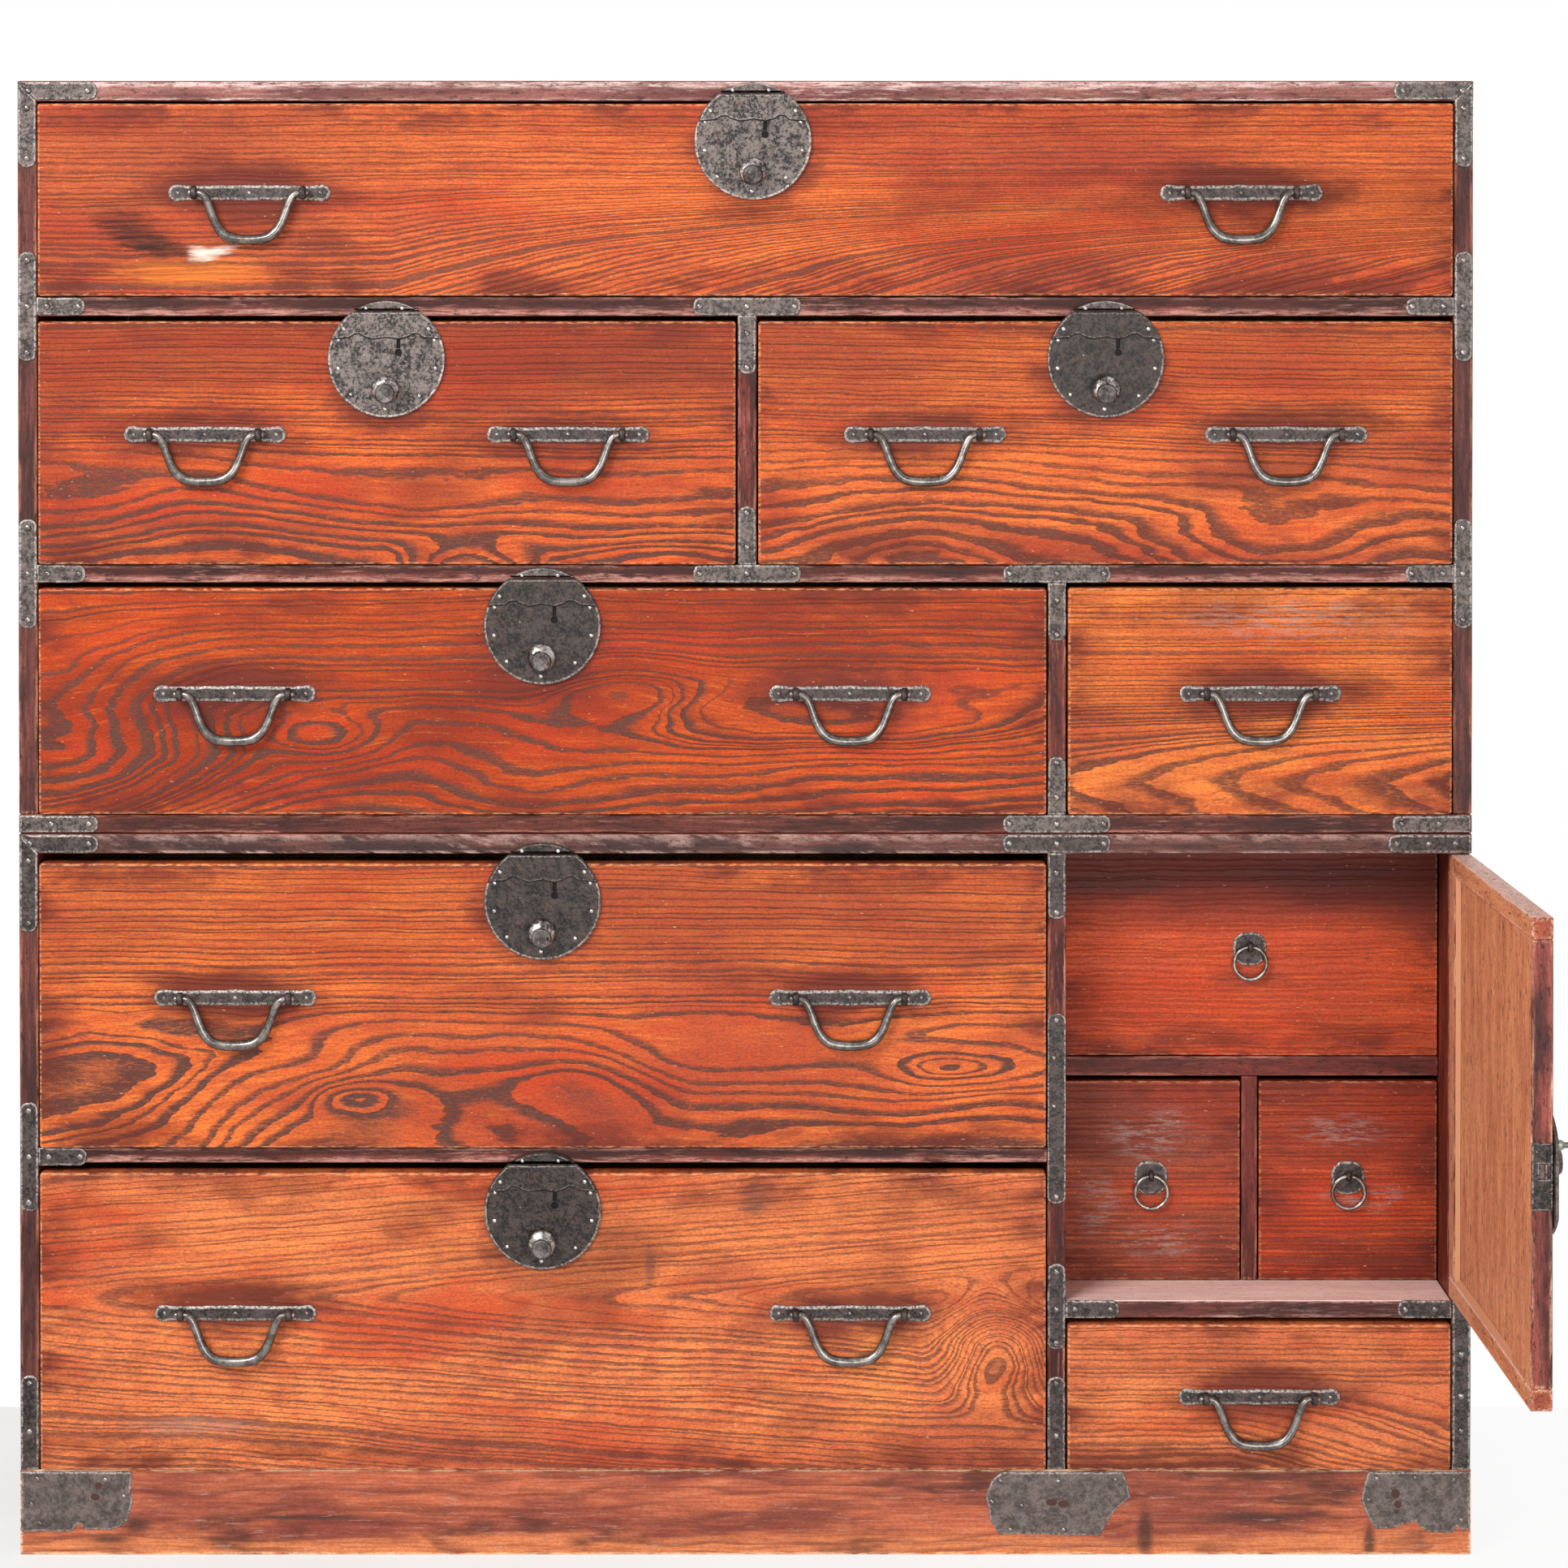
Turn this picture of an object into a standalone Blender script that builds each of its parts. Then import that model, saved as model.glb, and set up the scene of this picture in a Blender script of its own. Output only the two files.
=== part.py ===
"""A stacking clothing chest: two wooden cases, eleven drawers, one door and their iron fittings.

Lengths are in metres and +Z is up. X runs to the right and Y into the depth. The origin is
the middle of the plinth's underside. The chest stands at rest with its drawers shut and its
door open.
"""

import math

import bmesh
import bpy
from mathutils import Matrix

# Fits that are used all over.
fit_gap = 0.0003
union_lap = 0.0005
cut_overrun = 0.002
weld_distance = 0.00003

# The two cases and their boards.
case_width = 1.074
case_depth = 0.400
lower_height = 0.535
upper_height = 0.5557
side_board = 0.0145
top_board = 0.0150
upper_base_board = 0.0138
lower_base_board = 0.0120
back_board = 0.0080
plinth_height = 0.0636
plinth_thickness = 0.0180

# Rows of the upper case, from below, as shares of the height that its boards leave open.
# The top row takes what is left.
low_shelf = 0.0132
middle_shelf = 0.0144
low_row_share = 0.3435
middle_row_share = 0.3677

# Rows of the lower case, from below, as shares in the same way.
deep_shelf = 0.0114
compartment_floor = 0.0132
inner_shelf = 0.0150
inner_recess = 0.057
deep_row_share = 0.5110
corner_row_share = 0.2532
inner_row_share = 0.4900

# Upright dividers, by the place of their middle.
right_divider = 0.0138
right_divider_x = 0.2301
centre_divider = 0.0144
centre_divider_x = 0.0012
inner_divider = 0.0122

# Drawers.
front_thickness = 0.020
inner_front_thickness = 0.012
front_proud = 0.005
drawer_side_gap = 0.0010
drawer_end_gap = 0.010
tray_side = 0.009
tray_back = 0.009
tray_bottom = 0.006
tray_top_drop = 0.012
tray_inset = 0.0008
small_headroom = 0.0018
row_headroom = 0.0036
tall_headroom = 0.0064

# Bail handles, on a bar plate with two eyes.
plate_length = 0.1195
plate_height = 0.0125
plate_thickness = 0.0016
eye_spacing = 0.0800
eye_radius = 0.0050
eye_width = 0.0050
eye_bore = 0.0026
bail_standoff = 0.0064
bail_end_overhang = 0.0025
bail_end_radius = 0.0022
bail_arm_radius = 0.0029
bail_grip_radius = 0.0036
bail_shoulder_half_span = 0.0315
bail_grip_half_span = 0.0200
bail_drop = 0.0345
bail_swell_share = 0.92

# Where the handles sit, as shares of half a front's width and of its height.
wide_pull_share = 0.70
half_row_pull_share = 0.52
broad_pull_share = 0.61
upper_pull_height = 0.535
lower_pull_height = 0.53
corner_pull_height = 0.507
ring_pull_height = 0.515

# Ring pulls of the inner drawers.
ring_radius = 0.0122
ring_wire_radius = 0.0013
ring_plate_size = 0.0230
ring_plate_thickness = 0.0012
ring_eye_radius = 0.0040
ring_eye_width = 0.0040
ring_eye_bore = 0.0023
ring_standoff = 0.0048
ring_eye_rise = 0.0020

# Round lock plates with a push button and a keyhole.
lock_radius = 0.0430
lock_thickness = 0.0020
lock_chord = 0.0348
lock_drop = 0.0280
wide_lock_shift = 0.0057
button_drop = 0.0240
button_stem_radius = 0.0066
button_head_radius = 0.0100
button_face_radius = 0.0078
button_neck = 0.0048
button_head_edge = 0.0030
button_length = 0.0135
button_tail = 0.0020
button_travel = 0.0040
keyhole_side = 0.0090
keyhole_rise = 0.0048
keyhole_radius = 0.0027
keyhole_slot_top = 0.0138
keyhole_slot_width = 0.0030

# The door, which covers the front edge of the right side board.
door_thickness = 0.0150
door_gap = 0.0008
door_free_gap = 0.0012
door_hinge_inset = 0.0050
door_rebate_gap = 0.0018
door_rail = 0.0150
door_lock_stile = 0.0620
door_hinge_stile = 0.0200
door_panel_recess = 0.0040
door_lock_height_share = 0.4713
door_open_angle = math.radians(90.5)
hinge_pin_radius = 0.0020
hinge_pin_length = 0.0065
hinge_bore_depth = 0.0072

# The door lock's bolt and key.
bolt_length = 0.0280
bolt_height = 0.0090
bolt_thickness = 0.0028
bolt_rise = 0.0050
bolt_travel = 0.0080
door_keyhole_rise = 0.0175
door_keyhole_side = 0.0050
key_shaft_radius = 0.0020
key_collar_radius = 0.0036
key_collar_start = 0.0030
key_collar_length = 0.0070
key_length = 0.0420
key_tail = 0.0080
key_bow_radius = 0.0090
key_bow_wire = 0.0018

# Numbers of sides.
small_sides = 12
round_sides = 16
plate_sides = 40
ring_segments = 20
ring_sides = 6

# Places that follow from the sizes above.
front_y = -plinth_thickness / 2
back_y = front_y + case_depth
back_board_y = back_y - back_board
half_width = case_width / 2
left_inner = -half_width + side_board
right_inner = half_width - side_board
lower_ceiling = lower_height - top_board
upper_floor = lower_height + fit_gap
upper_shelf_floor = upper_floor + upper_base_board
upper_top_z = upper_floor + upper_height
upper_ceiling = upper_top_z - top_board
upper_open_height = upper_ceiling - upper_shelf_floor - low_shelf - middle_shelf
low_row_top = upper_shelf_floor + upper_open_height * low_row_share
middle_row_floor = low_row_top + low_shelf
middle_row_top = middle_row_floor + upper_open_height * middle_row_share
top_row_floor = middle_row_top + middle_shelf
left_open_height = lower_ceiling - plinth_height - deep_shelf
deep_row_top = plinth_height + left_open_height * deep_row_share
upper_deep_floor = deep_row_top + deep_shelf
right_open_height = lower_ceiling - plinth_height - compartment_floor
corner_row_top = plinth_height + right_open_height * corner_row_share
compartment_floor_z = corner_row_top + compartment_floor
compartment_open_height = lower_ceiling - compartment_floor_z - inner_shelf
inner_row_top = compartment_floor_z + compartment_open_height * inner_row_share
inner_wide_floor = inner_row_top + inner_shelf
right_divider_left = right_divider_x - right_divider / 2
right_divider_right = right_divider_x + right_divider / 2
inner_divider_x = (right_divider_right + right_inner) / 2
hinge_x = half_width - door_hinge_inset
hinge_y = front_y + door_hinge_inset
door_lock_z = compartment_floor_z + (lower_ceiling - compartment_floor_z) * door_lock_height_share


def clear_scene():
    for old in list(bpy.data.objects):
        bpy.data.objects.remove(old, do_unlink=True)


def new_collection(name):
    group = bpy.data.collections.new(name)
    bpy.context.scene.collection.children.link(group)
    return group


def new_material(name, colour, roughness, metallic):
    made = bpy.data.materials.new(name)
    made.use_nodes = True
    shader = made.node_tree.nodes["Principled BSDF"]
    shader.inputs["Base Color"].default_value = (*colour, 1)
    shader.inputs["Roughness"].default_value = roughness
    shader.inputs["Metallic"].default_value = metallic
    return made


clear_scene()
chest = new_collection("clothing_chest")
cutters = new_collection("cutters_and_lapped_shapes")
front_wood = new_material("lacquered_front_wood", (0.50, 0.10, 0.03), 0.40, 0)
frame_wood = new_material("worn_frame_wood", (0.12, 0.03, 0.02), 0.55, 0)
plain_wood = new_material("plain_inner_wood", (0.42, 0.22, 0.10), 0.70, 0)
iron = new_material("hammered_iron", (0.09, 0.08, 0.075), 0.50, 0.8)
bright_iron = new_material("handled_iron", (0.22, 0.20, 0.19), 0.38, 0.9)


def box_mesh(name, low, high):
    """A block between two opposite corners."""
    shape = bmesh.new()
    bmesh.ops.create_cube(shape, size=1)
    size = [b - a for a, b in zip(low, high)]
    middle = [(a + b) / 2 for a, b in zip(low, high)]
    bmesh.ops.scale(shape, vec=size, verts=shape.verts)
    bmesh.ops.translate(shape, vec=middle, verts=shape.verts)
    mesh = bpy.data.meshes.new(name)
    shape.to_mesh(mesh)
    shape.free()
    return mesh


def rod_mesh(name, radius, start, length, axis, sides):
    """A round rod that starts at a point and runs along X, Y or Z."""
    shape = bmesh.new()
    bmesh.ops.create_cone(
        shape, cap_ends=True, segments=sides, radius1=radius, radius2=radius, depth=length
    )
    turns = {"X": Matrix.Rotation(math.pi / 2, 4, "Y"), "Y": Matrix.Rotation(-math.pi / 2, 4, "X")}
    bmesh.ops.transform(shape, matrix=turns.get(axis, Matrix()), verts=shape.verts)
    middle = list(start)
    middle["XYZ".index(axis)] += length / 2
    bmesh.ops.translate(shape, vec=middle, verts=shape.verts)
    mesh = bpy.data.meshes.new(name)
    shape.to_mesh(mesh)
    shape.free()
    mesh.shade_smooth()
    mesh.set_sharp_from_angle(angle=math.radians(40))
    return mesh


def torus_mesh(name, radius, wire_radius, centre, axis):
    """A ring of round wire about a centre, whose axis is X or Y."""
    bpy.ops.mesh.primitive_torus_add(
        major_radius=radius,
        minor_radius=wire_radius,
        major_segments=ring_segments,
        minor_segments=ring_sides,
    )
    made = bpy.context.object
    mesh = made.data
    mesh.name = name
    bpy.data.objects.remove(made, do_unlink=True)
    mesh.transform(Matrix.Rotation(math.pi / 2, 4, "Y" if axis == "X" else "X"))
    mesh.transform(Matrix.Translation(centre))
    mesh.shade_smooth()
    return mesh


def welded_copy(source, name):
    """The evaluated shape of a curve as a mesh of one closed skin."""
    graph = bpy.context.evaluated_depsgraph_get()
    mesh = bpy.data.meshes.new_from_object(source.evaluated_get(graph))
    mesh.name = name
    curve = source.data
    bpy.data.objects.remove(source, do_unlink=True)
    bpy.data.curves.remove(curve)
    shape = bmesh.new()
    shape.from_mesh(mesh)
    bmesh.ops.remove_doubles(shape, verts=shape.verts, dist=weld_distance)
    shape.to_mesh(mesh)
    shape.free()
    return mesh


def flat_plate_mesh(name, outline, thickness):
    """A plate with an outline of (x, z) points, whose back lies at y = 0 and which grows to -Y."""
    curve = bpy.data.curves.new(name, "CURVE")
    curve.dimensions = "2D"
    curve.fill_mode = "BOTH"
    curve.extrude = thickness / 2
    line = curve.splines.new("POLY")
    line.points.add(len(outline) - 1)
    for point, (x, z) in zip(line.points, outline):
        point.co = (x, z, 0, 1)
    line.use_cyclic_u = True
    drawn = bpy.data.objects.new(name, curve)
    cutters.objects.link(drawn)
    mesh = welded_copy(drawn, name)
    mesh.transform(Matrix.Translation((0, -thickness / 2, 0)) @ Matrix.Rotation(math.pi / 2, 4, "X"))
    return mesh


def wire_mesh(name, points):
    """A round wire through (place, radius) points."""
    curve = bpy.data.curves.new(name, "CURVE")
    curve.dimensions = "3D"
    curve.bevel_depth = 1
    curve.bevel_resolution = 2
    curve.use_fill_caps = True
    line = curve.splines.new("POLY")
    line.points.add(len(points) - 1)
    for point, (place, radius) in zip(line.points, points):
        point.co = (*place, 1)
        point.radius = radius
    drawn = bpy.data.objects.new(name, curve)
    cutters.objects.link(drawn)
    mesh = welded_copy(drawn, name)
    mesh.shade_smooth()
    return mesh


def add_part(name, mesh, material, parent=None, place=(0, 0, 0)):
    made = bpy.data.objects.new(name, mesh)
    if not mesh.materials:
        mesh.materials.append(material)
    made.parent = parent
    made.location = place
    chest.objects.link(made)
    return made


def add_empty(name, place=(0, 0, 0), parent=None):
    made = bpy.data.objects.new(name, None)
    made.parent = parent
    made.location = place
    chest.objects.link(made)
    return made


def apply_shapes(part, operation, meshes):
    """Joins meshes to a part, or cuts them from it. The meshes are in the part's own space."""
    group = bpy.data.collections.new(f"{part.name}_{operation.lower()}")
    cutters.children.link(group)
    for mesh in meshes:
        helper = bpy.data.objects.new(f"{part.name}_{mesh.name}", mesh)
        helper.parent = part
        helper.hide_render = True
        helper.display_type = "WIRE"
        group.objects.link(helper)
    step = part.modifiers.new(operation.lower(), "BOOLEAN")
    step.operation = operation
    step.operand_type = "COLLECTION"
    step.collection = group


def capsule_outline(length, height, arc_points):
    """A bar with two round ends."""
    radius = height / 2
    reach = length / 2 - radius
    points = []
    for side in (1, -1):
        for step in range(arc_points + 1):
            turn = math.pi * (step / arc_points - 0.5)
            points.append((side * (reach + radius * math.cos(turn)), side * radius * math.sin(turn)))
    return points


def segment_outline(radius, chord, sides):
    """A disc whose top is cut off along a chord at a height above its middle."""
    start = math.pi - math.asin(chord / radius)
    sweep = math.pi + 2 * math.asin(chord / radius)
    return [
        (
            radius * math.cos(start + sweep * step / sides),
            radius * math.sin(start + sweep * step / sides),
        )
        for step in range(sides + 1)
    ]


# The cases.


def build_lower_case(body):
    add_part(
        "lower_left_side",
        box_mesh(
            "lower_left_side",
            (-half_width, front_y, 0),
            (left_inner, back_y, lower_ceiling - fit_gap),
        ),
        frame_wood,
        body,
    )
    right = add_part(
        "lower_right_side",
        box_mesh(
            "lower_right_side",
            (right_inner, front_y, 0),
            (half_width, back_y, lower_ceiling - fit_gap),
        ),
        frame_wood,
        body,
    )
    rebate_back = front_y + door_thickness + door_rebate_gap
    rebate = box_mesh(
        "door_rebate",
        (right_inner - cut_overrun, front_y - cut_overrun, compartment_floor_z),
        (half_width + cut_overrun, rebate_back, lower_ceiling + cut_overrun),
    )
    pin_bore = rod_mesh(
        "lower_pin_bore",
        hinge_pin_radius + fit_gap,
        (hinge_x, hinge_y, compartment_floor_z - hinge_bore_depth),
        hinge_bore_depth + cut_overrun,
        "Z",
        small_sides,
    )
    apply_shapes(right, "DIFFERENCE", [rebate])
    apply_shapes(right, "DIFFERENCE", [pin_bore])
    top = add_part(
        "lower_top",
        box_mesh(
            "lower_top", (-half_width, front_y, lower_ceiling), (half_width, back_y, lower_height)
        ),
        frame_wood,
        body,
    )
    upper_bore = rod_mesh(
        "upper_pin_bore",
        hinge_pin_radius + fit_gap,
        (hinge_x, hinge_y, lower_ceiling - cut_overrun),
        hinge_bore_depth + cut_overrun,
        "Z",
        small_sides,
    )
    apply_shapes(top, "DIFFERENCE", [upper_bore])
    add_part(
        "plinth",
        box_mesh(
            "plinth",
            (left_inner + fit_gap, front_y, 0),
            (right_inner - fit_gap, front_y + plinth_thickness, plinth_height),
        ),
        frame_wood,
        body,
    )
    add_part(
        "lower_base",
        box_mesh(
            "lower_base",
            (
                left_inner + fit_gap,
                front_y + plinth_thickness + fit_gap,
                plinth_height - lower_base_board,
            ),
            (right_inner - fit_gap, back_board_y - fit_gap, plinth_height),
        ),
        plain_wood,
        body,
    )
    add_part(
        "lower_back",
        box_mesh(
            "lower_back",
            (left_inner + fit_gap, back_board_y, 0),
            (right_inner - fit_gap, back_y, lower_ceiling - fit_gap),
        ),
        plain_wood,
        body,
    )
    build_lower_partitions(body)


def build_lower_partitions(body):
    """The upright divider with the shelf on its left and the compartment's floor on its right."""
    inner_back = back_board_y - fit_gap
    divider = add_part(
        "lower_partitions",
        box_mesh(
            "lower_divider",
            (right_divider_left, front_y, plinth_height + fit_gap),
            (right_divider_right, inner_back, lower_ceiling - fit_gap),
        ),
        frame_wood,
        body,
    )
    shelf = box_mesh(
        "deep_shelf",
        (left_inner + fit_gap, front_y, deep_row_top),
        (right_divider_left + union_lap, inner_back, upper_deep_floor),
    )
    floor = box_mesh(
        "compartment_floor",
        (right_divider_right - union_lap, front_y, corner_row_top),
        (right_inner - fit_gap, inner_back, compartment_floor_z),
    )
    apply_shapes(divider, "UNION", [shelf, floor])
    bolt_z = door_lock_z + bolt_rise
    bolt_y = front_y + door_thickness / 2
    mortise = box_mesh(
        "bolt_mortise",
        (
            right_divider_right + door_free_gap - bolt_travel - fit_gap,
            bolt_y - bolt_thickness / 2 - fit_gap,
            bolt_z - bolt_height / 2 - fit_gap,
        ),
        (
            right_divider_right + cut_overrun,
            bolt_y + bolt_thickness / 2 + fit_gap,
            bolt_z + bolt_height / 2 + fit_gap,
        ),
    )
    apply_shapes(divider, "DIFFERENCE", [mortise])
    rack_front = front_y + inner_recess
    rack = add_part(
        "compartment_rack",
        box_mesh(
            "inner_shelf",
            (right_divider_right + fit_gap, rack_front, inner_row_top),
            (right_inner - fit_gap, inner_back, inner_wide_floor),
        ),
        frame_wood,
        body,
    )
    upright = box_mesh(
        "inner_divider",
        (inner_divider_x - inner_divider / 2, rack_front, compartment_floor_z + fit_gap),
        (inner_divider_x + inner_divider / 2, inner_back, inner_row_top + union_lap),
    )
    apply_shapes(rack, "UNION", [upright])


def build_upper_case(body):
    """Boards of the upper case, placed from the seam between the two cases."""
    inner_back = back_board_y - fit_gap
    for name, low, high in (
        ("upper_base", upper_floor, upper_shelf_floor),
        ("upper_top", upper_ceiling, upper_top_z),
    ):
        mesh = box_mesh(
            name,
            (-half_width, front_y, low - upper_floor),
            (half_width, back_y, high - upper_floor),
        )
        add_part(name, mesh, frame_wood, body)
    side_low = upper_shelf_floor + fit_gap - upper_floor
    side_high = upper_ceiling - fit_gap - upper_floor
    for name, x_low, x_high in (
        ("upper_left_side", -half_width, left_inner),
        ("upper_right_side", right_inner, half_width),
    ):
        mesh = box_mesh(name, (x_low, front_y, side_low), (x_high, back_y, side_high))
        add_part(name, mesh, frame_wood, body)
    add_part(
        "upper_back",
        box_mesh(
            "upper_back",
            (left_inner + fit_gap, back_board_y, side_low),
            (right_inner - fit_gap, back_y, side_high),
        ),
        plain_wood,
        body,
    )
    shelf_left = left_inner + fit_gap
    shelf_right = right_inner - fit_gap
    partitions = add_part(
        "upper_partitions",
        box_mesh(
            "low_shelf",
            (shelf_left, front_y, low_row_top - upper_floor),
            (shelf_right, inner_back, middle_row_floor - upper_floor),
        ),
        frame_wood,
        body,
    )
    shelf = box_mesh(
        "middle_shelf",
        (shelf_left, front_y, middle_row_top - upper_floor),
        (shelf_right, inner_back, top_row_floor - upper_floor),
    )
    centre = box_mesh(
        "centre_divider",
        (
            centre_divider_x - centre_divider / 2,
            front_y,
            middle_row_floor - union_lap - upper_floor,
        ),
        (
            centre_divider_x + centre_divider / 2,
            inner_back,
            middle_row_top + union_lap - upper_floor,
        ),
    )
    right = box_mesh(
        "right_divider",
        (right_divider_left, front_y, side_low),
        (right_divider_right, inner_back, low_row_top + union_lap - upper_floor),
    )
    apply_shapes(partitions, "UNION", [centre, right])
    apply_shapes(partitions, "UNION", [shelf])


# Fittings.


def bail_wire(name):
    """A drop handle whose ends point outwards through the eyes. Its origin is on the eyes' axis."""
    tip = eye_spacing / 2 + eye_width / 2 + bail_end_overhang
    neck = eye_spacing / 2 - eye_width
    shoulder = bail_shoulder_half_span
    grip = bail_grip_half_span
    arm_run = shoulder - grip
    swell = bail_swell_share
    half = [
        ((tip, 0, 0), bail_end_radius),
        ((neck, 0, 0), bail_end_radius),
        ((shoulder + arm_run * 0.15, 0, -bail_drop * 0.03), bail_arm_radius * swell),
        ((shoulder - arm_run * 0.05, 0, -bail_drop * 0.13), bail_arm_radius),
        ((shoulder - arm_run * 0.25, 0, -bail_drop * 0.30), bail_arm_radius),
        ((grip + arm_run * 0.15, 0, -bail_drop * 0.74), bail_arm_radius),
        ((grip - arm_run * 0.25, 0, -bail_drop * 0.91), bail_grip_radius * swell),
        ((grip * 0.52, 0, -bail_drop * 0.99), bail_grip_radius),
    ]
    other = [((-place[0], place[1], place[2]), radius) for place, radius in reversed(half)]
    return wire_mesh(name, half + [((0, 0, -bail_drop), bail_grip_radius)] + other)


def handle_plate_shapes(x, z):
    """The bar plate and two eyes of one handle, and the bore through its eyes."""
    plate = handle_plate.copy()
    plate.transform(Matrix.Translation((x, union_lap, z)))
    eyes = []
    for side in (-1, 1):
        start = (x + side * eye_spacing / 2 - eye_width / 2, -bail_standoff, z)
        eyes.append(rod_mesh("eye", eye_radius, start, eye_width, "X", small_sides))
    reach = eye_spacing / 2 + eye_width / 2 + cut_overrun
    bore = rod_mesh(
        "eye_bore", eye_bore, (x - reach, -bail_standoff, z), 2 * reach, "X", small_sides
    )
    return [plate], eyes, [bore]


def ring_plate_shapes(x, z):
    """The square plate and the eye of one ring pull, and the bore through its eye."""
    half = ring_plate_size / 2
    plate = box_mesh(
        "ring_plate",
        (x - half, -ring_plate_thickness, z - half),
        (x + half, union_lap, z + half),
    )
    eye_z = z + ring_eye_rise
    start = (x - ring_eye_width / 2, -ring_standoff, eye_z)
    eye = rod_mesh("ring_eye", ring_eye_radius, start, ring_eye_width, "X", small_sides)
    bore_start = (x - ring_eye_width, -ring_standoff, eye_z)
    bore = rod_mesh(
        "ring_eye_bore", ring_eye_bore, bore_start, 2 * ring_eye_width, "X", small_sides
    )
    return [plate], [eye], [bore]


def button_mesh(name):
    """A push button, turned about its own axis, which sticks out to -Y. Its origin is at the plate."""
    tail = lock_thickness + button_tail
    profile = [
        (0, button_length),
        (button_face_radius, button_length),
        (button_head_radius, button_length - button_head_edge),
        (button_head_radius, button_neck + button_head_edge),
        (button_stem_radius, button_neck),
        (button_stem_radius, -tail),
        (0, -tail),
    ]
    return turned_mesh(name, profile, round_sides)


def turned_mesh(name, profile, sides):
    """A profile of (radius, height) points, turned with a Screw and laid so that it grows to -Y."""
    line = bpy.data.meshes.new(name)
    points = [(radius, 0, height) for radius, height in profile]
    line.from_pydata(points, [(n, n + 1) for n in range(len(points) - 1)], [])
    drawn = bpy.data.objects.new(name, line)
    cutters.objects.link(drawn)
    turn = drawn.modifiers.new("turn", "SCREW")
    turn.steps = sides
    turn.render_steps = sides
    turn.use_merge_vertices = True
    turn.merge_threshold = weld_distance
    graph = bpy.context.evaluated_depsgraph_get()
    mesh = bpy.data.meshes.new_from_object(drawn.evaluated_get(graph))
    mesh.name = name
    bpy.data.objects.remove(drawn, do_unlink=True)
    mesh.transform(Matrix.Rotation(math.pi / 2, 4, "X"))
    mesh.shade_smooth()
    mesh.set_sharp_from_angle(angle=math.radians(40))
    return mesh


def add_lock_plate(name, keyhole, button, turn, parent, place):
    """A round plate cut along a chord. keyhole and button are (x, z) places from its middle."""
    disc = lock_disc.copy()
    disc.transform(Matrix.Rotation(-turn, 4, "Y"))
    plate = add_part(name, disc, iron, parent, place)
    through = lock_thickness + 2 * cut_overrun
    back = -lock_thickness - cut_overrun
    holes = [
        rod_mesh(
            "button_hole",
            button_stem_radius + fit_gap,
            (button[0], back, button[1]),
            through,
            "Y",
            round_sides,
        )
    ]
    key_x, key_z = keyhole
    round_hole = rod_mesh("keyhole", keyhole_radius, (key_x, back, key_z), through, "Y", small_sides)
    apply_shapes(plate, "DIFFERENCE", holes + [round_hole])
    if not turn:
        slot = box_mesh(
            "keyhole_slot",
            (key_x - keyhole_slot_width / 2, back, key_z + keyhole_radius + fit_gap),
            (key_x + keyhole_slot_width / 2, back + through, key_z + keyhole_slot_top),
        )
        apply_shapes(plate, "DIFFERENCE", [slot])
    return plate


# Drawers.


def add_drawer(name, body, bay, headroom, pull_share, pull_height_share, locked, lock_shift=0):
    """A drawer with its front, tray, plates and eyes, in a bay given as (left, right, floor, top).

    Its origin is the middle of the lower edge of its front face. pull_share holds the place of
    each handle as a share of half the front's width, and None means a ring pull.
    """
    left, right, floor, ceiling = bay
    inner = pull_share is None
    face_y = front_y + inner_recess if inner else front_y - front_proud
    thickness = inner_front_thickness if inner else front_thickness
    width = right - left - 2 * drawer_side_gap
    height = ceiling - floor - fit_gap - headroom
    length = back_board_y - drawer_end_gap - face_y
    half = width / 2
    place = ((left + right) / 2, face_y, floor + fit_gap - body_height(body))
    front = box_mesh(f"{name}_front", (-half, 0, 0), (half, thickness, height))
    drawer = add_part(name, front, front_wood, body, place)
    tray_half = half - tray_inset
    tray = box_mesh(
        "tray",
        (-tray_half, thickness - union_lap, 0),
        (tray_half, length, height - tray_top_drop),
    )
    hollow = box_mesh(
        "tray_hollow",
        (-tray_half + tray_side, thickness, tray_bottom),
        (tray_half - tray_side, length - tray_back, height),
    )
    pull_z = height * pull_height_share
    flats, eyes, bores = [], [], []
    if inner:
        flats, eyes, bores = ring_plate_shapes(0, pull_z)
        ring_place = (0, -ring_standoff, pull_z + ring_eye_rise)
        add_part(f"{name}_ring", ring_shape, bright_iron, drawer, ring_place)
    else:
        for share in pull_share:
            more = handle_plate_shapes(share * half, pull_z)
            flats += more[0]
            eyes += more[1]
            bores += more[2]
            side = {-1: "_left", 0: "", 1: "_right"}[(share > 0) - (share < 0)]
            bail_name = f"{name}{side}_bail"
            bail_place = (share * half, -bail_standoff, pull_z)
            add_part(bail_name, bail_shape, bright_iron, drawer, bail_place)
    if locked:
        lock_z = height - lock_drop
        plate_place = (lock_shift, -fit_gap, lock_z)
        add_lock_plate(
            f"{name}_lock_plate",
            (keyhole_side, keyhole_rise),
            (0, -button_drop),
            0,
            drawer,
            plate_place,
        )
        button_place = (lock_shift, -fit_gap - lock_thickness, lock_z - button_drop)
        add_part(f"{name}_lock_button", button_shape, bright_iron, drawer, button_place)
        bores.append(
            rod_mesh(
                "button_bore",
                button_stem_radius + fit_gap,
                (lock_shift, -cut_overrun, lock_z - button_drop),
                cut_overrun + button_tail + button_travel + fit_gap,
                "Y",
                round_sides,
            )
        )
    apply_shapes(drawer, "UNION", [tray] + flats)
    apply_shapes(drawer, "UNION", eyes)
    apply_shapes(drawer, "DIFFERENCE", [hollow] + bores)
    return drawer


def body_height(body):
    return body.location.z


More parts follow.
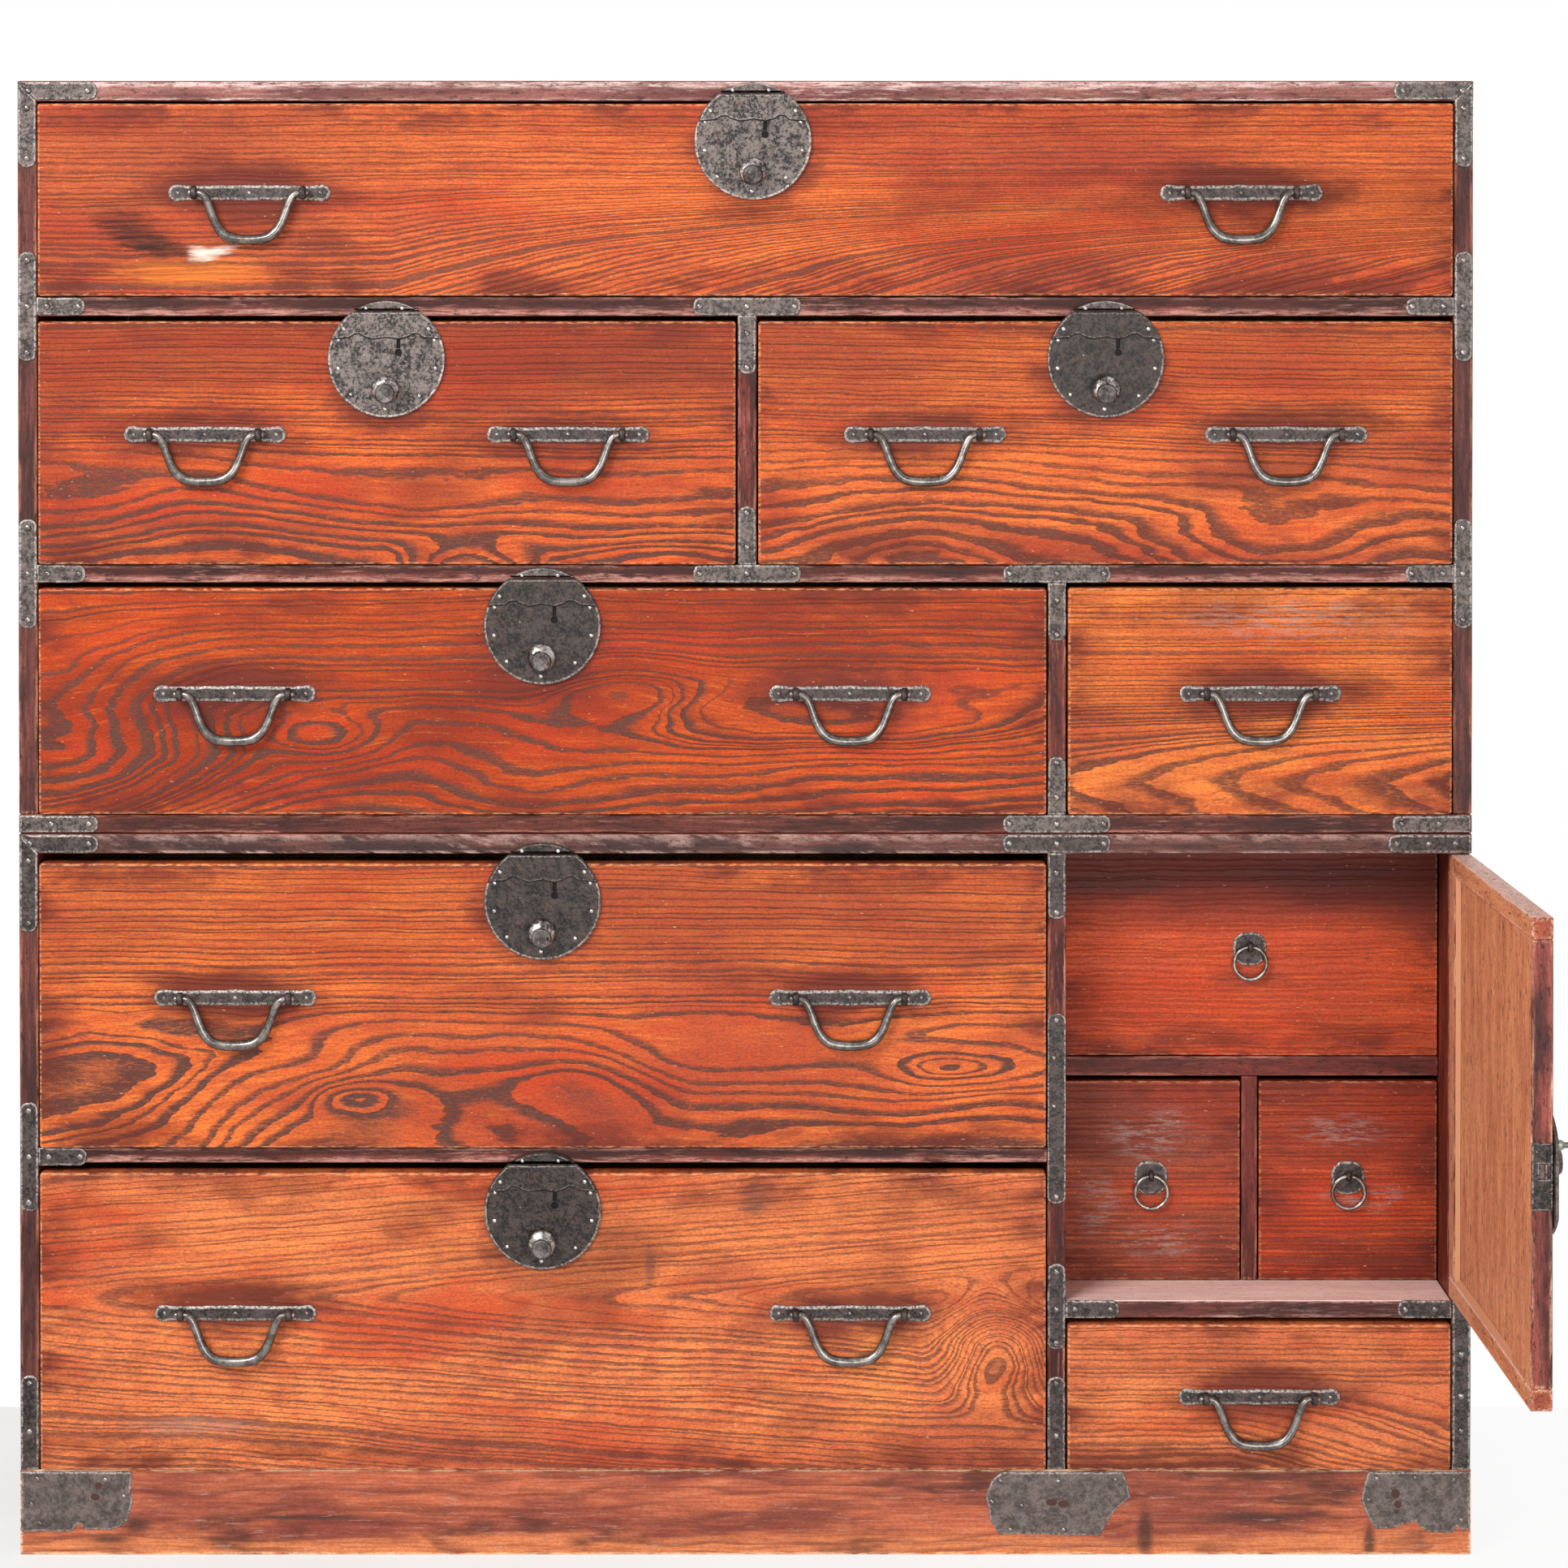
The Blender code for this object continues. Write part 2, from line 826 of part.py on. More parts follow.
def build_upper_drawers(body):
    top_bay = (left_inner, right_inner, top_row_floor, upper_ceiling)
    centre_left = centre_divider_x - centre_divider / 2
    centre_right = centre_divider_x + centre_divider / 2
    middle_left_bay = (left_inner, centre_left, middle_row_floor, middle_row_top)
    middle_right_bay = (centre_right, right_inner, middle_row_floor, middle_row_top)
    low_left_bay = (left_inner, right_divider_left, upper_shelf_floor, low_row_top)
    low_right_bay = (right_divider_right, right_inner, upper_shelf_floor, low_row_top)
    wide = (-wide_pull_share, wide_pull_share)
    half_row = (-half_row_pull_share, half_row_pull_share)
    broad = (-broad_pull_share, broad_pull_share)
    level = upper_pull_height
    add_drawer("top_drawer", body, top_bay, small_headroom, wide, level, True, wide_lock_shift)
    add_drawer("middle_left_drawer", body, middle_left_bay, row_headroom, half_row, level, True)
    add_drawer("middle_right_drawer", body, middle_right_bay, row_headroom, half_row, level, True)
    add_drawer("low_left_drawer", body, low_left_bay, row_headroom, broad, level, True)
    add_drawer("low_right_drawer", body, low_right_bay, row_headroom, (0,), level, False)


def build_lower_drawers(body):
    broad = (-broad_pull_share, broad_pull_share)
    level = lower_pull_height
    upper_deep_bay = (left_inner, right_divider_left, upper_deep_floor, lower_ceiling)
    lower_deep_bay = (left_inner, right_divider_left, plinth_height, deep_row_top)
    corner_bay = (right_divider_right, right_inner, plinth_height, corner_row_top)
    inner_left = inner_divider_x - inner_divider / 2
    inner_right = inner_divider_x + inner_divider / 2
    inner_wide_bay = (right_divider_right, right_inner, inner_wide_floor, lower_ceiling)
    inner_left_bay = (right_divider_right, inner_left, compartment_floor_z, inner_row_top)
    inner_right_bay = (inner_right, right_inner, compartment_floor_z, inner_row_top)
    add_drawer("upper_deep_drawer", body, upper_deep_bay, tall_headroom, broad, level, True)
    add_drawer("lower_deep_drawer", body, lower_deep_bay, tall_headroom, broad, level, True)
    add_drawer("corner_drawer", body, corner_bay, row_headroom, (0,), corner_pull_height, False)
    for name, bay in (
        ("inner_wide_drawer", inner_wide_bay),
        ("inner_left_drawer", inner_left_bay),
        ("inner_right_drawer", inner_right_bay),
    ):
        add_drawer(name, body, bay, row_headroom, None, ring_pull_height, False)


# The door with its lock, in the space of its hinge axis, as if it were shut.


def build_door(body):
    hinge = add_empty("door_hinge", (hinge_x, hinge_y, 0), body)
    hinge.rotation_euler = (0, 0, door_open_angle)
    free_x = right_divider_right + door_free_gap - hinge_x
    hinge_edge_x = door_hinge_inset
    face_y = -door_hinge_inset
    inner_y = face_y + door_thickness
    low_z = compartment_floor_z + door_gap
    high_z = lower_ceiling - door_gap
    frame = add_part(
        "door_frame",
        box_mesh("door_leaf", (free_x, face_y, low_z), (hinge_edge_x, inner_y, high_z)),
        front_wood,
        hinge,
    )
    opening_low = (free_x + door_lock_stile, face_y - cut_overrun, low_z + door_rail)
    opening_high = (
        hinge_edge_x - door_hinge_stile,
        inner_y + cut_overrun,
        high_z - door_rail,
    )
    panel_opening = box_mesh("panel_opening", opening_low, opening_high)
    add_part(
        "door_panel",
        box_mesh(
            "door_panel",
            (opening_low[0] + fit_gap, face_y, opening_low[2] + fit_gap),
            (
                opening_high[0] - fit_gap,
                inner_y - door_panel_recess,
                opening_high[2] - fit_gap,
            ),
        ),
        front_wood,
        hinge,
    )
    pins = [
        rod_mesh(
            "hinge_pin",
            hinge_pin_radius,
            (0, 0, start),
            hinge_pin_length + union_lap,
            "Z",
            small_sides,
        )
        for start in (low_z - hinge_pin_length, high_z - union_lap)
    ]
    lock_x = free_x + lock_drop
    lock_z = door_lock_z
    button_x = lock_x + button_drop
    key_x = lock_x - door_keyhole_side
    key_z = lock_z + door_keyhole_rise
    button_bore = rod_mesh(
        "button_bore",
        button_stem_radius + fit_gap,
        (button_x, face_y - cut_overrun, lock_z),
        cut_overrun + button_tail + button_travel + fit_gap,
        "Y",
        round_sides,
    )
    key_bore = rod_mesh(
        "key_bore",
        keyhole_radius,
        (key_x, face_y - cut_overrun, key_z),
        cut_overrun + key_tail + fit_gap,
        "Y",
        small_sides,
    )
    bolt_y = face_y + door_thickness / 2
    bolt_z = lock_z + bolt_rise
    bolt_half = (bolt_thickness / 2, bolt_height / 2)
    channel = box_mesh(
        "bolt_channel",
        (free_x - cut_overrun, bolt_y - bolt_half[0] - fit_gap, bolt_z - bolt_half[1] - fit_gap),
        (
            free_x + bolt_length + fit_gap,
            bolt_y + bolt_half[0] + fit_gap,
            bolt_z + bolt_half[1] + fit_gap,
        ),
    )
    apply_shapes(frame, "UNION", pins)
    apply_shapes(frame, "DIFFERENCE", [panel_opening, button_bore, key_bore, channel])
    bolt_mesh = box_mesh(
        "door_bolt",
        (free_x, bolt_y - bolt_half[0], bolt_z - bolt_half[1]),
        (free_x + bolt_length, bolt_y + bolt_half[0], bolt_z + bolt_half[1]),
    )
    add_part("door_bolt", bolt_mesh, iron, hinge)
    add_lock_plate(
        "door_lock_plate",
        (-door_keyhole_side, door_keyhole_rise),
        (button_drop, 0),
        math.pi / 2,
        hinge,
        (lock_x, face_y - fit_gap, lock_z),
    )
    plate_front = face_y - fit_gap - lock_thickness
    button_place = (button_x, plate_front, lock_z)
    add_part("door_lock_button", button_shape, bright_iron, hinge, button_place)
    key = add_part("door_key", key_shape, bright_iron, hinge, (key_x, plate_front, key_z))
    bow = torus_mesh(
        "key_bow",
        key_bow_radius,
        key_bow_wire,
        (0, -key_length - key_bow_radius + key_bow_wire / 2, 0),
        "X",
    )
    apply_shapes(key, "UNION", [bow])


def key_stem():
    """The key's shaft, with the collar that stops it at the lock plate."""
    tail = lock_thickness + key_tail
    collar_end = key_collar_start + key_collar_length
    profile = [
        (0, key_length),
        (key_shaft_radius, key_length),
        (key_shaft_radius, collar_end),
        (key_collar_radius, collar_end - key_collar_length / 3),
        (key_collar_radius, key_collar_start + key_collar_length / 3),
        (key_shaft_radius, key_collar_start),
        (key_shaft_radius, -tail),
        (0, -tail),
    ]
    return turned_mesh("door_key", profile, small_sides)


# Shapes that repeat are made once, and their copies share or adapt them.
handle_plate = flat_plate_mesh(
    "handle_plate",
    capsule_outline(plate_length, plate_height, round_sides // 4),
    plate_thickness + union_lap,
)
lock_disc = flat_plate_mesh(
    "lock_disc", segment_outline(lock_radius, lock_chord, plate_sides), lock_thickness
)
bail_shape = bail_wire("bail")
button_shape = button_mesh("lock_button")
key_shape = key_stem()
ring_shape = torus_mesh("pull_ring", ring_radius, ring_wire_radius, (0, 0, -ring_radius), "Y")
lower_body = add_empty("lower_case")
upper_body = add_empty("upper_case", (0, 0, upper_floor))
build_lower_case(lower_body)
build_upper_case(upper_body)
build_upper_drawers(upper_body)
build_lower_drawers(lower_body)
build_door(lower_body)
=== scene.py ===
import math

import bmesh
import bpy
from mathutils import Matrix, Vector, noise


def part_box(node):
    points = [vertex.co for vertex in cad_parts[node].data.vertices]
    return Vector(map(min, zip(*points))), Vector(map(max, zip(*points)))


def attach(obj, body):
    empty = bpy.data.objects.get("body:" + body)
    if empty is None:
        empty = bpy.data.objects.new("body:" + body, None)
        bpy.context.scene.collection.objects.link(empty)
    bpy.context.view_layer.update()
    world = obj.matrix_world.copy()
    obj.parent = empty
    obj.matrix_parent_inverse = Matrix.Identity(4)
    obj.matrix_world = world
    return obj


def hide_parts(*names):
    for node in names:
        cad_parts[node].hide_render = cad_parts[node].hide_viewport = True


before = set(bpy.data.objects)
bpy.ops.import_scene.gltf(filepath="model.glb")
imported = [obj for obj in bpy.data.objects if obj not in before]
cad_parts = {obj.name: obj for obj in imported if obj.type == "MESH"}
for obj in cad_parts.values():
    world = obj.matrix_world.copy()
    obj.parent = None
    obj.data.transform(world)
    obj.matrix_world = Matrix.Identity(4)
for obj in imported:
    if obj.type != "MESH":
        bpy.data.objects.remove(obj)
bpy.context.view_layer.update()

# The unevenness of sawn boards and hammered plates comes out the same in each run.
noise.seed_set(7)

# Fits of the solids that the dressed pieces keep to.
fit_gap = 0.0003
side_gap = 0.001
row_headroom = 0.0036
tall_headroom = 0.0064
front_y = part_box("upper_top")[0].y
case_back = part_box("upper_top")[1].y
half_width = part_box("upper_top")[1].x
side_board = 0.0145
stile_x = half_width - side_board / 2
front_thickness = 0.020
inner_front_thickness = 0.012
tray_side = 0.009
tray_bottom = 0.006
tray_inset = 0.0008
tray_top_drop = 0.012
rail_depth = 0.030
open_angle = math.radians(90.5)
hinge_place = Vector((half_width - 0.005, front_y + 0.005, 0))

# Wrought iron on the frame. It lies a little in the wood, so that no light shows behind it.
iron_back = front_y + 0.0002
strap_width = 0.0132
strap_thickness = 0.0013
iron_face = iron_back - strap_thickness
stile_bar = 0.0810
stile_arm = 0.0500
corner_arm = 0.0590
corner_leg = 0.0630
divider_arm = 0.0400
divider_leg = 0.0500
frame_nail = 0.0027
plate_nail = 0.0017

# Bail handles and their bar plates.
plate_length = 0.1195
plate_height = 0.0125
plate_thickness = 0.0016
eye_spacing = 0.0800
eye_radius = 0.0050
eye_width = 0.0050
bail_standoff = 0.0064

# Round lock plates.
lock_radius = 0.0430
lock_thickness = 0.0020
lock_chord = 0.0348
button_drop = 0.0240

large_drawers = (
    "top_drawer",
    "middle_left_drawer",
    "middle_right_drawer",
    "low_left_drawer",
    "low_right_drawer",
    "upper_deep_drawer",
    "lower_deep_drawer",
    "corner_drawer",
)
inner_drawers = ("inner_wide_drawer", "inner_left_drawer", "inner_right_drawer")
locked_drawers = tuple(n for n in large_drawers if f"{n}_lock_plate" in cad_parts)


def paint(red, green, blue):
    """A colour written as it looks, from 0 to 255, as the renderer's light values."""
    return tuple(
        (c / 255 / 12.92 if c < 10.3 else ((c / 255 + 0.055) / 1.055) ** 2.4)
        for c in (red, green, blue)
    ) + (1,)


# Finishes.


# Spots to the metre, along, across and into a board, of the finest grit in its lacquer.
grit_spots = (420.0, 620.0, 500.0)


class NodeTree:
    """A node tree under construction."""

    def __init__(self, tree):
        self.tree = tree

    def feed(self, socket, value):
        if isinstance(value, bpy.types.NodeSocket):
            self.tree.links.new(value, socket)
        elif value is not None:
            socket.default_value = value

    def node(self, kind, feeds=(), **settings):
        made = self.tree.nodes.new(kind)
        for key, value in settings.items():
            setattr(made, key, value)
        for key, value in feeds:
            self.feed(made.inputs[key], value)
        return made


class Finish(NodeTree):
    """One material. Its methods add nodes and hand back the sockets that come out of them."""

    def __init__(self, name):
        self.material = bpy.data.materials.new(name)
        self.material.use_nodes = True
        super().__init__(self.material.node_tree)
        self.tree.nodes.clear()

    def carried(self, name, kind="Vector"):
        """A value that the piece's vertices carry."""
        return self.node("ShaderNodeAttribute", attribute_name=name).outputs[kind]

    def object_place(self):
        return self.node("ShaderNodeTexCoord").outputs["Object"]

    def moved(self, place, shift=(0, 0, 0), scale=(1, 1, 1), turn=(0, 0, 0)):
        feeds = (("Vector", place), ("Location", shift), ("Scale", scale), ("Rotation", turn))
        return self.node("ShaderNodeMapping", feeds).outputs["Vector"]

    def parts(self, place):
        made = self.node("ShaderNodeSeparateXYZ", (("Vector", place),))
        return made.outputs["X"], made.outputs["Y"], made.outputs["Z"]

    def number(self, operation, *values, clamp=False):
        made = self.node("ShaderNodeMath", enumerate(values), operation=operation, use_clamp=clamp)
        return made.outputs[0]

    def times(self, first, second, clamp=False):
        return self.number("MULTIPLY", first, second, clamp=clamp)

    def plus(self, first, second):
        return self.number("ADD", first, second)

    def minus(self, first, second):
        return self.number("SUBTRACT", first, second)

    def most(self, first, second):
        return self.number("MAXIMUM", first, second)

    def scaled(self, value, factor, start):
        return self.number("MULTIPLY_ADD", value, factor, start)

    def arrows(self, operation, *values):
        made = self.node("ShaderNodeVectorMath", enumerate(values), operation=operation)
        return made.outputs["Value" if operation == "LENGTH" else 0]

    def clouds(self, place, scale=None, detail=2.0, rough=0.5, shift=(0, 0, 0)):
        """Soft noise over a place, with scale spots to the metre along each axis."""
        feeds = (
            ("Vector", self.moved(place, shift, scale) if scale else place),
            ("Scale", 1.0),
            ("Detail", detail),
            ("Roughness", rough),
        )
        return self.node("ShaderNodeTexNoise", feeds).outputs["Fac"]

    def spread(self, value, low, high, to_low=0.0, to_high=1.0):
        feeds = (
            ("Value", value),
            ("From Min", low),
            ("From Max", high),
            ("To Min", to_low),
            ("To Max", to_high),
        )
        made = self.node("ShaderNodeMapRange", feeds, interpolation_type="SMOOTHSTEP")
        return made.outputs["Result"]

    def curve(self, value, stops):
        made = self.node("ShaderNodeValToRGB", (("Fac", value),))
        ramp = made.color_ramp
        ramp.elements[0].position = stops[0][0]
        ramp.elements[1].position = stops[-1][0]
        for at, _ in stops[1:-1]:
            ramp.elements.new(at)
        for element, (_, level) in zip(ramp.elements, stops):
            element.color = (level, level, level, 1)
        return made.outputs["Color"]

    def blend(self, share, under, over, way="MIX"):
        made = self.node("ShaderNodeMix", data_type="RGBA", blend_type=way)
        self.feed(made.inputs[0], share)
        self.feed(made.inputs[6], under)
        self.feed(made.inputs[7], over)
        return made.outputs[2]

    def joined(self, x, y, z):
        return self.node("ShaderNodeCombineXYZ", (("X", x), ("Y", y), ("Z", z))).outputs[0]

    def bent(self, place, spots, reach):
        """The place, shifted to and fro by up to half of reach."""
        feeds = (("Vector", spots), ("Scale", 1.0), ("Detail", 2.0), ("Roughness", 0.5))
        push = self.node("ShaderNodeTexNoise", feeds).outputs["Color"]
        push = self.arrows("SUBTRACT", push, (0.5, 0.5, 0.5))
        return self.arrows("MULTIPLY_ADD", push, reach, place)

    def spot_at(self, place, patches, centre, reach, strength, turn=0.0):
        """A ragged spot on the face that fades outwards."""
        moved = self.moved(place, (-centre[0], -centre[1], 0))
        turned = self.moved(moved, turn=(0, 0, -turn))
        spot = self.moved(turned, scale=(1 / reach[0], 1 / reach[1], 0))
        away = self.plus(self.arrows("LENGTH", spot), self.scaled(patches, 1.6, -0.8))
        return self.spread(away, 0.30, 1.05, strength, 0.0)

    def edge_room(self):
        """Distance from the nearest edge of the face, for a board that carries its own measures."""
        place = self.arrows("ABSOLUTE", self.carried("grain_place"))
        room = self.arrows("SUBTRACT", self.carried("board_half"), place)
        a, b, c = self.parts(room)
        lower = self.number("MINIMUM", a, b)
        upper = self.most(a, b)
        return self.most(lower, self.number("MINIMUM", upper, c))

    def coat(self, under, tint, value, low, high, most=1.0):
        """Lays a tint over a colour where a value rises, or falls, from low to high."""
        return self.blend(self.spread(value, low, high, 0.0, most), under, tint)

    def finished(self, colour, roughness, height, depth=0.0007, shine=None, metal=None):
        shader = self.node(
            "ShaderNodeBsdfPrincipled",
            (
                ("Base Color", colour),
                ("Roughness", roughness),
                ("Specular IOR Level", shine),
                ("Metallic", metal),
            ),
        )
        bump = self.node("ShaderNodeBump", (("Height", height), ("Strength", 1.0), ("Distance", depth)))
        self.feed(shader.inputs["Normal"], bump.outputs["Normal"])
        self.node("ShaderNodeOutputMaterial", (("Surface", shader.outputs[0]),))
        return self.material


def lacquered_front(
    name,
    seed,
    ring=0.0050,
    bold=0.4,
    slope=0.0,
    swells=(),
    swirl=0.012,
    flow=(4.5, 13.0),
    ripple=0.0035,
    bright=paint(226, 108, 40),
    deep=paint(166, 60, 30),
    line=paint(90, 60, 52),
    line_strength=0.9,
    smudges=(),
    scuffs=(),
    marks=(),
    worn=0.6,
    fan=(0.0, 0.0),
    dusk=0.0,
    heart=None,
):
    """Orange-red lacquer over bold growth rings, which run along the board and grow wider to its
    foot by bold. swells are ((along, across), (half length, half height), rise) places where the
    cut bends the rings. smudges are ((along, across), (half length, half height)) places that
    hands have darkened, scuffs are such places rubbed grey, and marks are stains and chips with a
    turn, a colour and a strength. fan is where the lower rings start to climb and how steeply.
    dusk is how much darker the board grows towards its top, painted shade on the drawers inside the
    compartment. heart is (across, roundness, climb) of the line where the cut runs through the tree's middle,
    so that the rings point along the board."""
    f = Finish(name)
    place = f.carried("grain_place")
    along, across, _ = f.parts(place)
    seeded = f.moved(place, (seed * 3.7, seed * 1.9, seed * 2.3))
    bent = f.bent(place, f.moved(seeded, scale=(7.0, 15.0, 1.0)), (0.040, 0.018, 0.0))
    low = f.spread(across, 0.025, -0.045)
    off = across
    if heart is not None:
        off = f.minus(across, heart[0])
        off = f.number("SQRT", f.scaled(off, off, heart[1] ** 2))
        slope = heart[2]
    level = f.times(off, f.scaled(low, -bold, 1.0))
    height = f.scaled(along, -slope, level)
    if fan[1]:
        climb = f.most(f.minus(along, fan[0]), 0.0)
        height = f.minus(height, f.times(climb, f.times(low, fan[1])))
    for (x, z), (reach_x, reach_z), rise in swells:
        spot = f.moved(bent, (-x / reach_x, -z / reach_z, 0), (1 / reach_x, 1 / reach_z, 0))
        height = f.plus(height, f.spread(f.arrows("LENGTH", spot), 0.0, 1.7, rise, 0.0))
    broad = f.clouds(seeded, (flow[0], flow[1], 4.0), 1.0, 0.45)
    small = f.clouds(seeded, (26.0, 90.0, 20.0), 2.0, 0.55)
    tremor = f.clouds(seeded, (90.0, 330.0, 60.0), 2.0, 0.6)
    stir = f.times(f.minus(broad, 0.5), f.scaled(low, 1.4 * swirl, 0.6 * swirl))
    height = f.plus(height, stir)
    height = f.plus(height, f.scaled(small, 2 * ripple, -ripple))
    radius = f.number("DIVIDE", height, ring)
    uneven = f.node(
        "ShaderNodeTexNoise",
        (("W", f.times(radius, 0.31)), ("Scale", 1.0), ("Detail", 2.0)),
        noise_dimensions="1D",
    ).outputs["Fac"]
    phase = f.plus(radius, f.times(uneven, 3.0))
    phase = f.plus(phase, f.times(tremor, 0.22))
    each = f.node("ShaderNodeTexWhiteNoise", (("W", f.number("FLOOR", phase)),), noise_dimensions="1D")
    chance = each.outputs["Value"]
    within = f.number("FRACT", phase)
    width = f.scaled(low, 0.13, f.scaled(chance, 0.24, 0.20))
    width = f.scaled(f.minus(tremor, 0.5), 0.35, width)
    fade = f.spread(within, f.times(width, 0.6), f.times(width, 1.3), 1.0, 0.0)
    band = f.times(fade, f.spread(within, 0.0, 0.06))
    rows = f.scaled(across, 260.0, f.times(phase, 1.3))
    fibres = f.clouds(f.joined(f.times(along, 22.0), rows, seed), None, 4.0, 0.74)
    rows = f.scaled(across, 1000.0, f.times(phase, 1.2))
    pores = f.clouds(f.joined(f.times(along, 150.0), rows, seed + 3), None, 2.0, 0.7)
    grit = f.clouds(seeded, grit_spots, 2.0, 0.7)
    band = f.times(band, f.spread(pores, 0.36, 0.58, 0.55, 1.0))
    band = f.times(band, f.scaled(chance, 0.40, 0.72))
    band = f.times(band, f.scaled(low, 0.35, 0.90), clamp=True)
    tone = f.clouds(seeded, (3.0, 9.0, 5.0), 4.0, 0.62)
    ground = f.coat(bright, deep, tone, 0.38, 0.66)
    ground = f.coat(ground, deep, fibres, 0.40, 0.62, 0.62)
    ground = f.coat(ground, paint(240, 146, 62), fibres, 0.44, 0.28, 0.30)
    ground = f.coat(ground, line, pores, 0.53, 0.68, 0.46)
    flush = f.clouds(seeded, (5.0, 19.0, 9.0), 3.0, 0.6, (4, 1, 6))
    ground = f.coat(ground, paint(196, 62, 26), flush, 0.50, 0.66, 0.5)
    colour = f.blend(f.times(band, line_strength), ground, line)
    colour = f.coat(colour, paint(64, 22, 14), grit, 0.35, 0.68, 0.34)
    edge = f.edge_room()
    patches = f.clouds(seeded, (12.0, 30.0, 20.0), 4.0, 0.68)
    smoke = f.clouds(seeded, (7.0, 15.0, 9.0), 3.0, 0.6, (2, 5, 1))
    grime_and_shade = f.times(f.spread(edge, 0.0, 0.045, 0.85, 0.0), f.spread(patches, 0.40, 0.64))
    grime_and_shade = f.most(grime_and_shade, f.spread(smoke, 0.52, 0.74, 0.0, 0.55))
    # Painted shade: towards its top the board darkens, as under the rail above the drawers in the
    # compartment.
    if dusk:
        above = f.plus(across, f.scaled(smoke, 0.08, -0.04))
        grime_and_shade = f.most(grime_and_shade, f.spread(above, 0.005, 0.050, 0.0, dusk))
    for centre, reach in smudges:
        grime_and_shade = f.most(grime_and_shade, f.spot_at(place, patches, centre, reach, 0.88))
    colour = f.blend(grime_and_shade, colour, paint(92, 36, 28))
    chips = f.clouds(seeded, (150.0, 420.0, 300.0), 3.0, 0.68)
    flakes = f.clouds(seeded, (52.0, 330.0, 200.0), 4.0, 0.72)
    for centre, reach in scuffs:
        grey = f.spot_at(place, patches, centre, reach, 0.66)
        worn_off = f.times(f.spread(flakes, 0.47, 0.56), f.spread(pores, 0.40, 0.56, 0.2, 1.0))
        colour = f.blend(f.times(grey, worn_off), colour, paint(150, 128, 124))
    for centre, reach, turn, tint, strength in marks:
        stain = f.spot_at(place, flakes, centre, reach, strength, turn)
        stain = f.times(stain, f.spread(fibres, 0.30, 0.52, 1.0, 0.45))
        colour = f.blend(stain, colour, tint)
    rubbed = f.times(f.spread(edge, 0.0006, 0.0024, 1.0, 0.0), f.spread(chips, 0.42, 0.60))
    colour = f.blend(f.times(rubbed, worn), colour, paint(238, 168, 120))
    colour = f.coat(colour, paint(226, 160, 130), chips, 0.67, 0.74, 0.7)
    rough = f.scaled(band, 0.15, 0.42)
    height = f.scaled(band, -0.6, f.times(fibres, 0.5))
    height = f.scaled(grit, 0.4, height)
    return f.finished(colour, rough, height, shine=0.13)


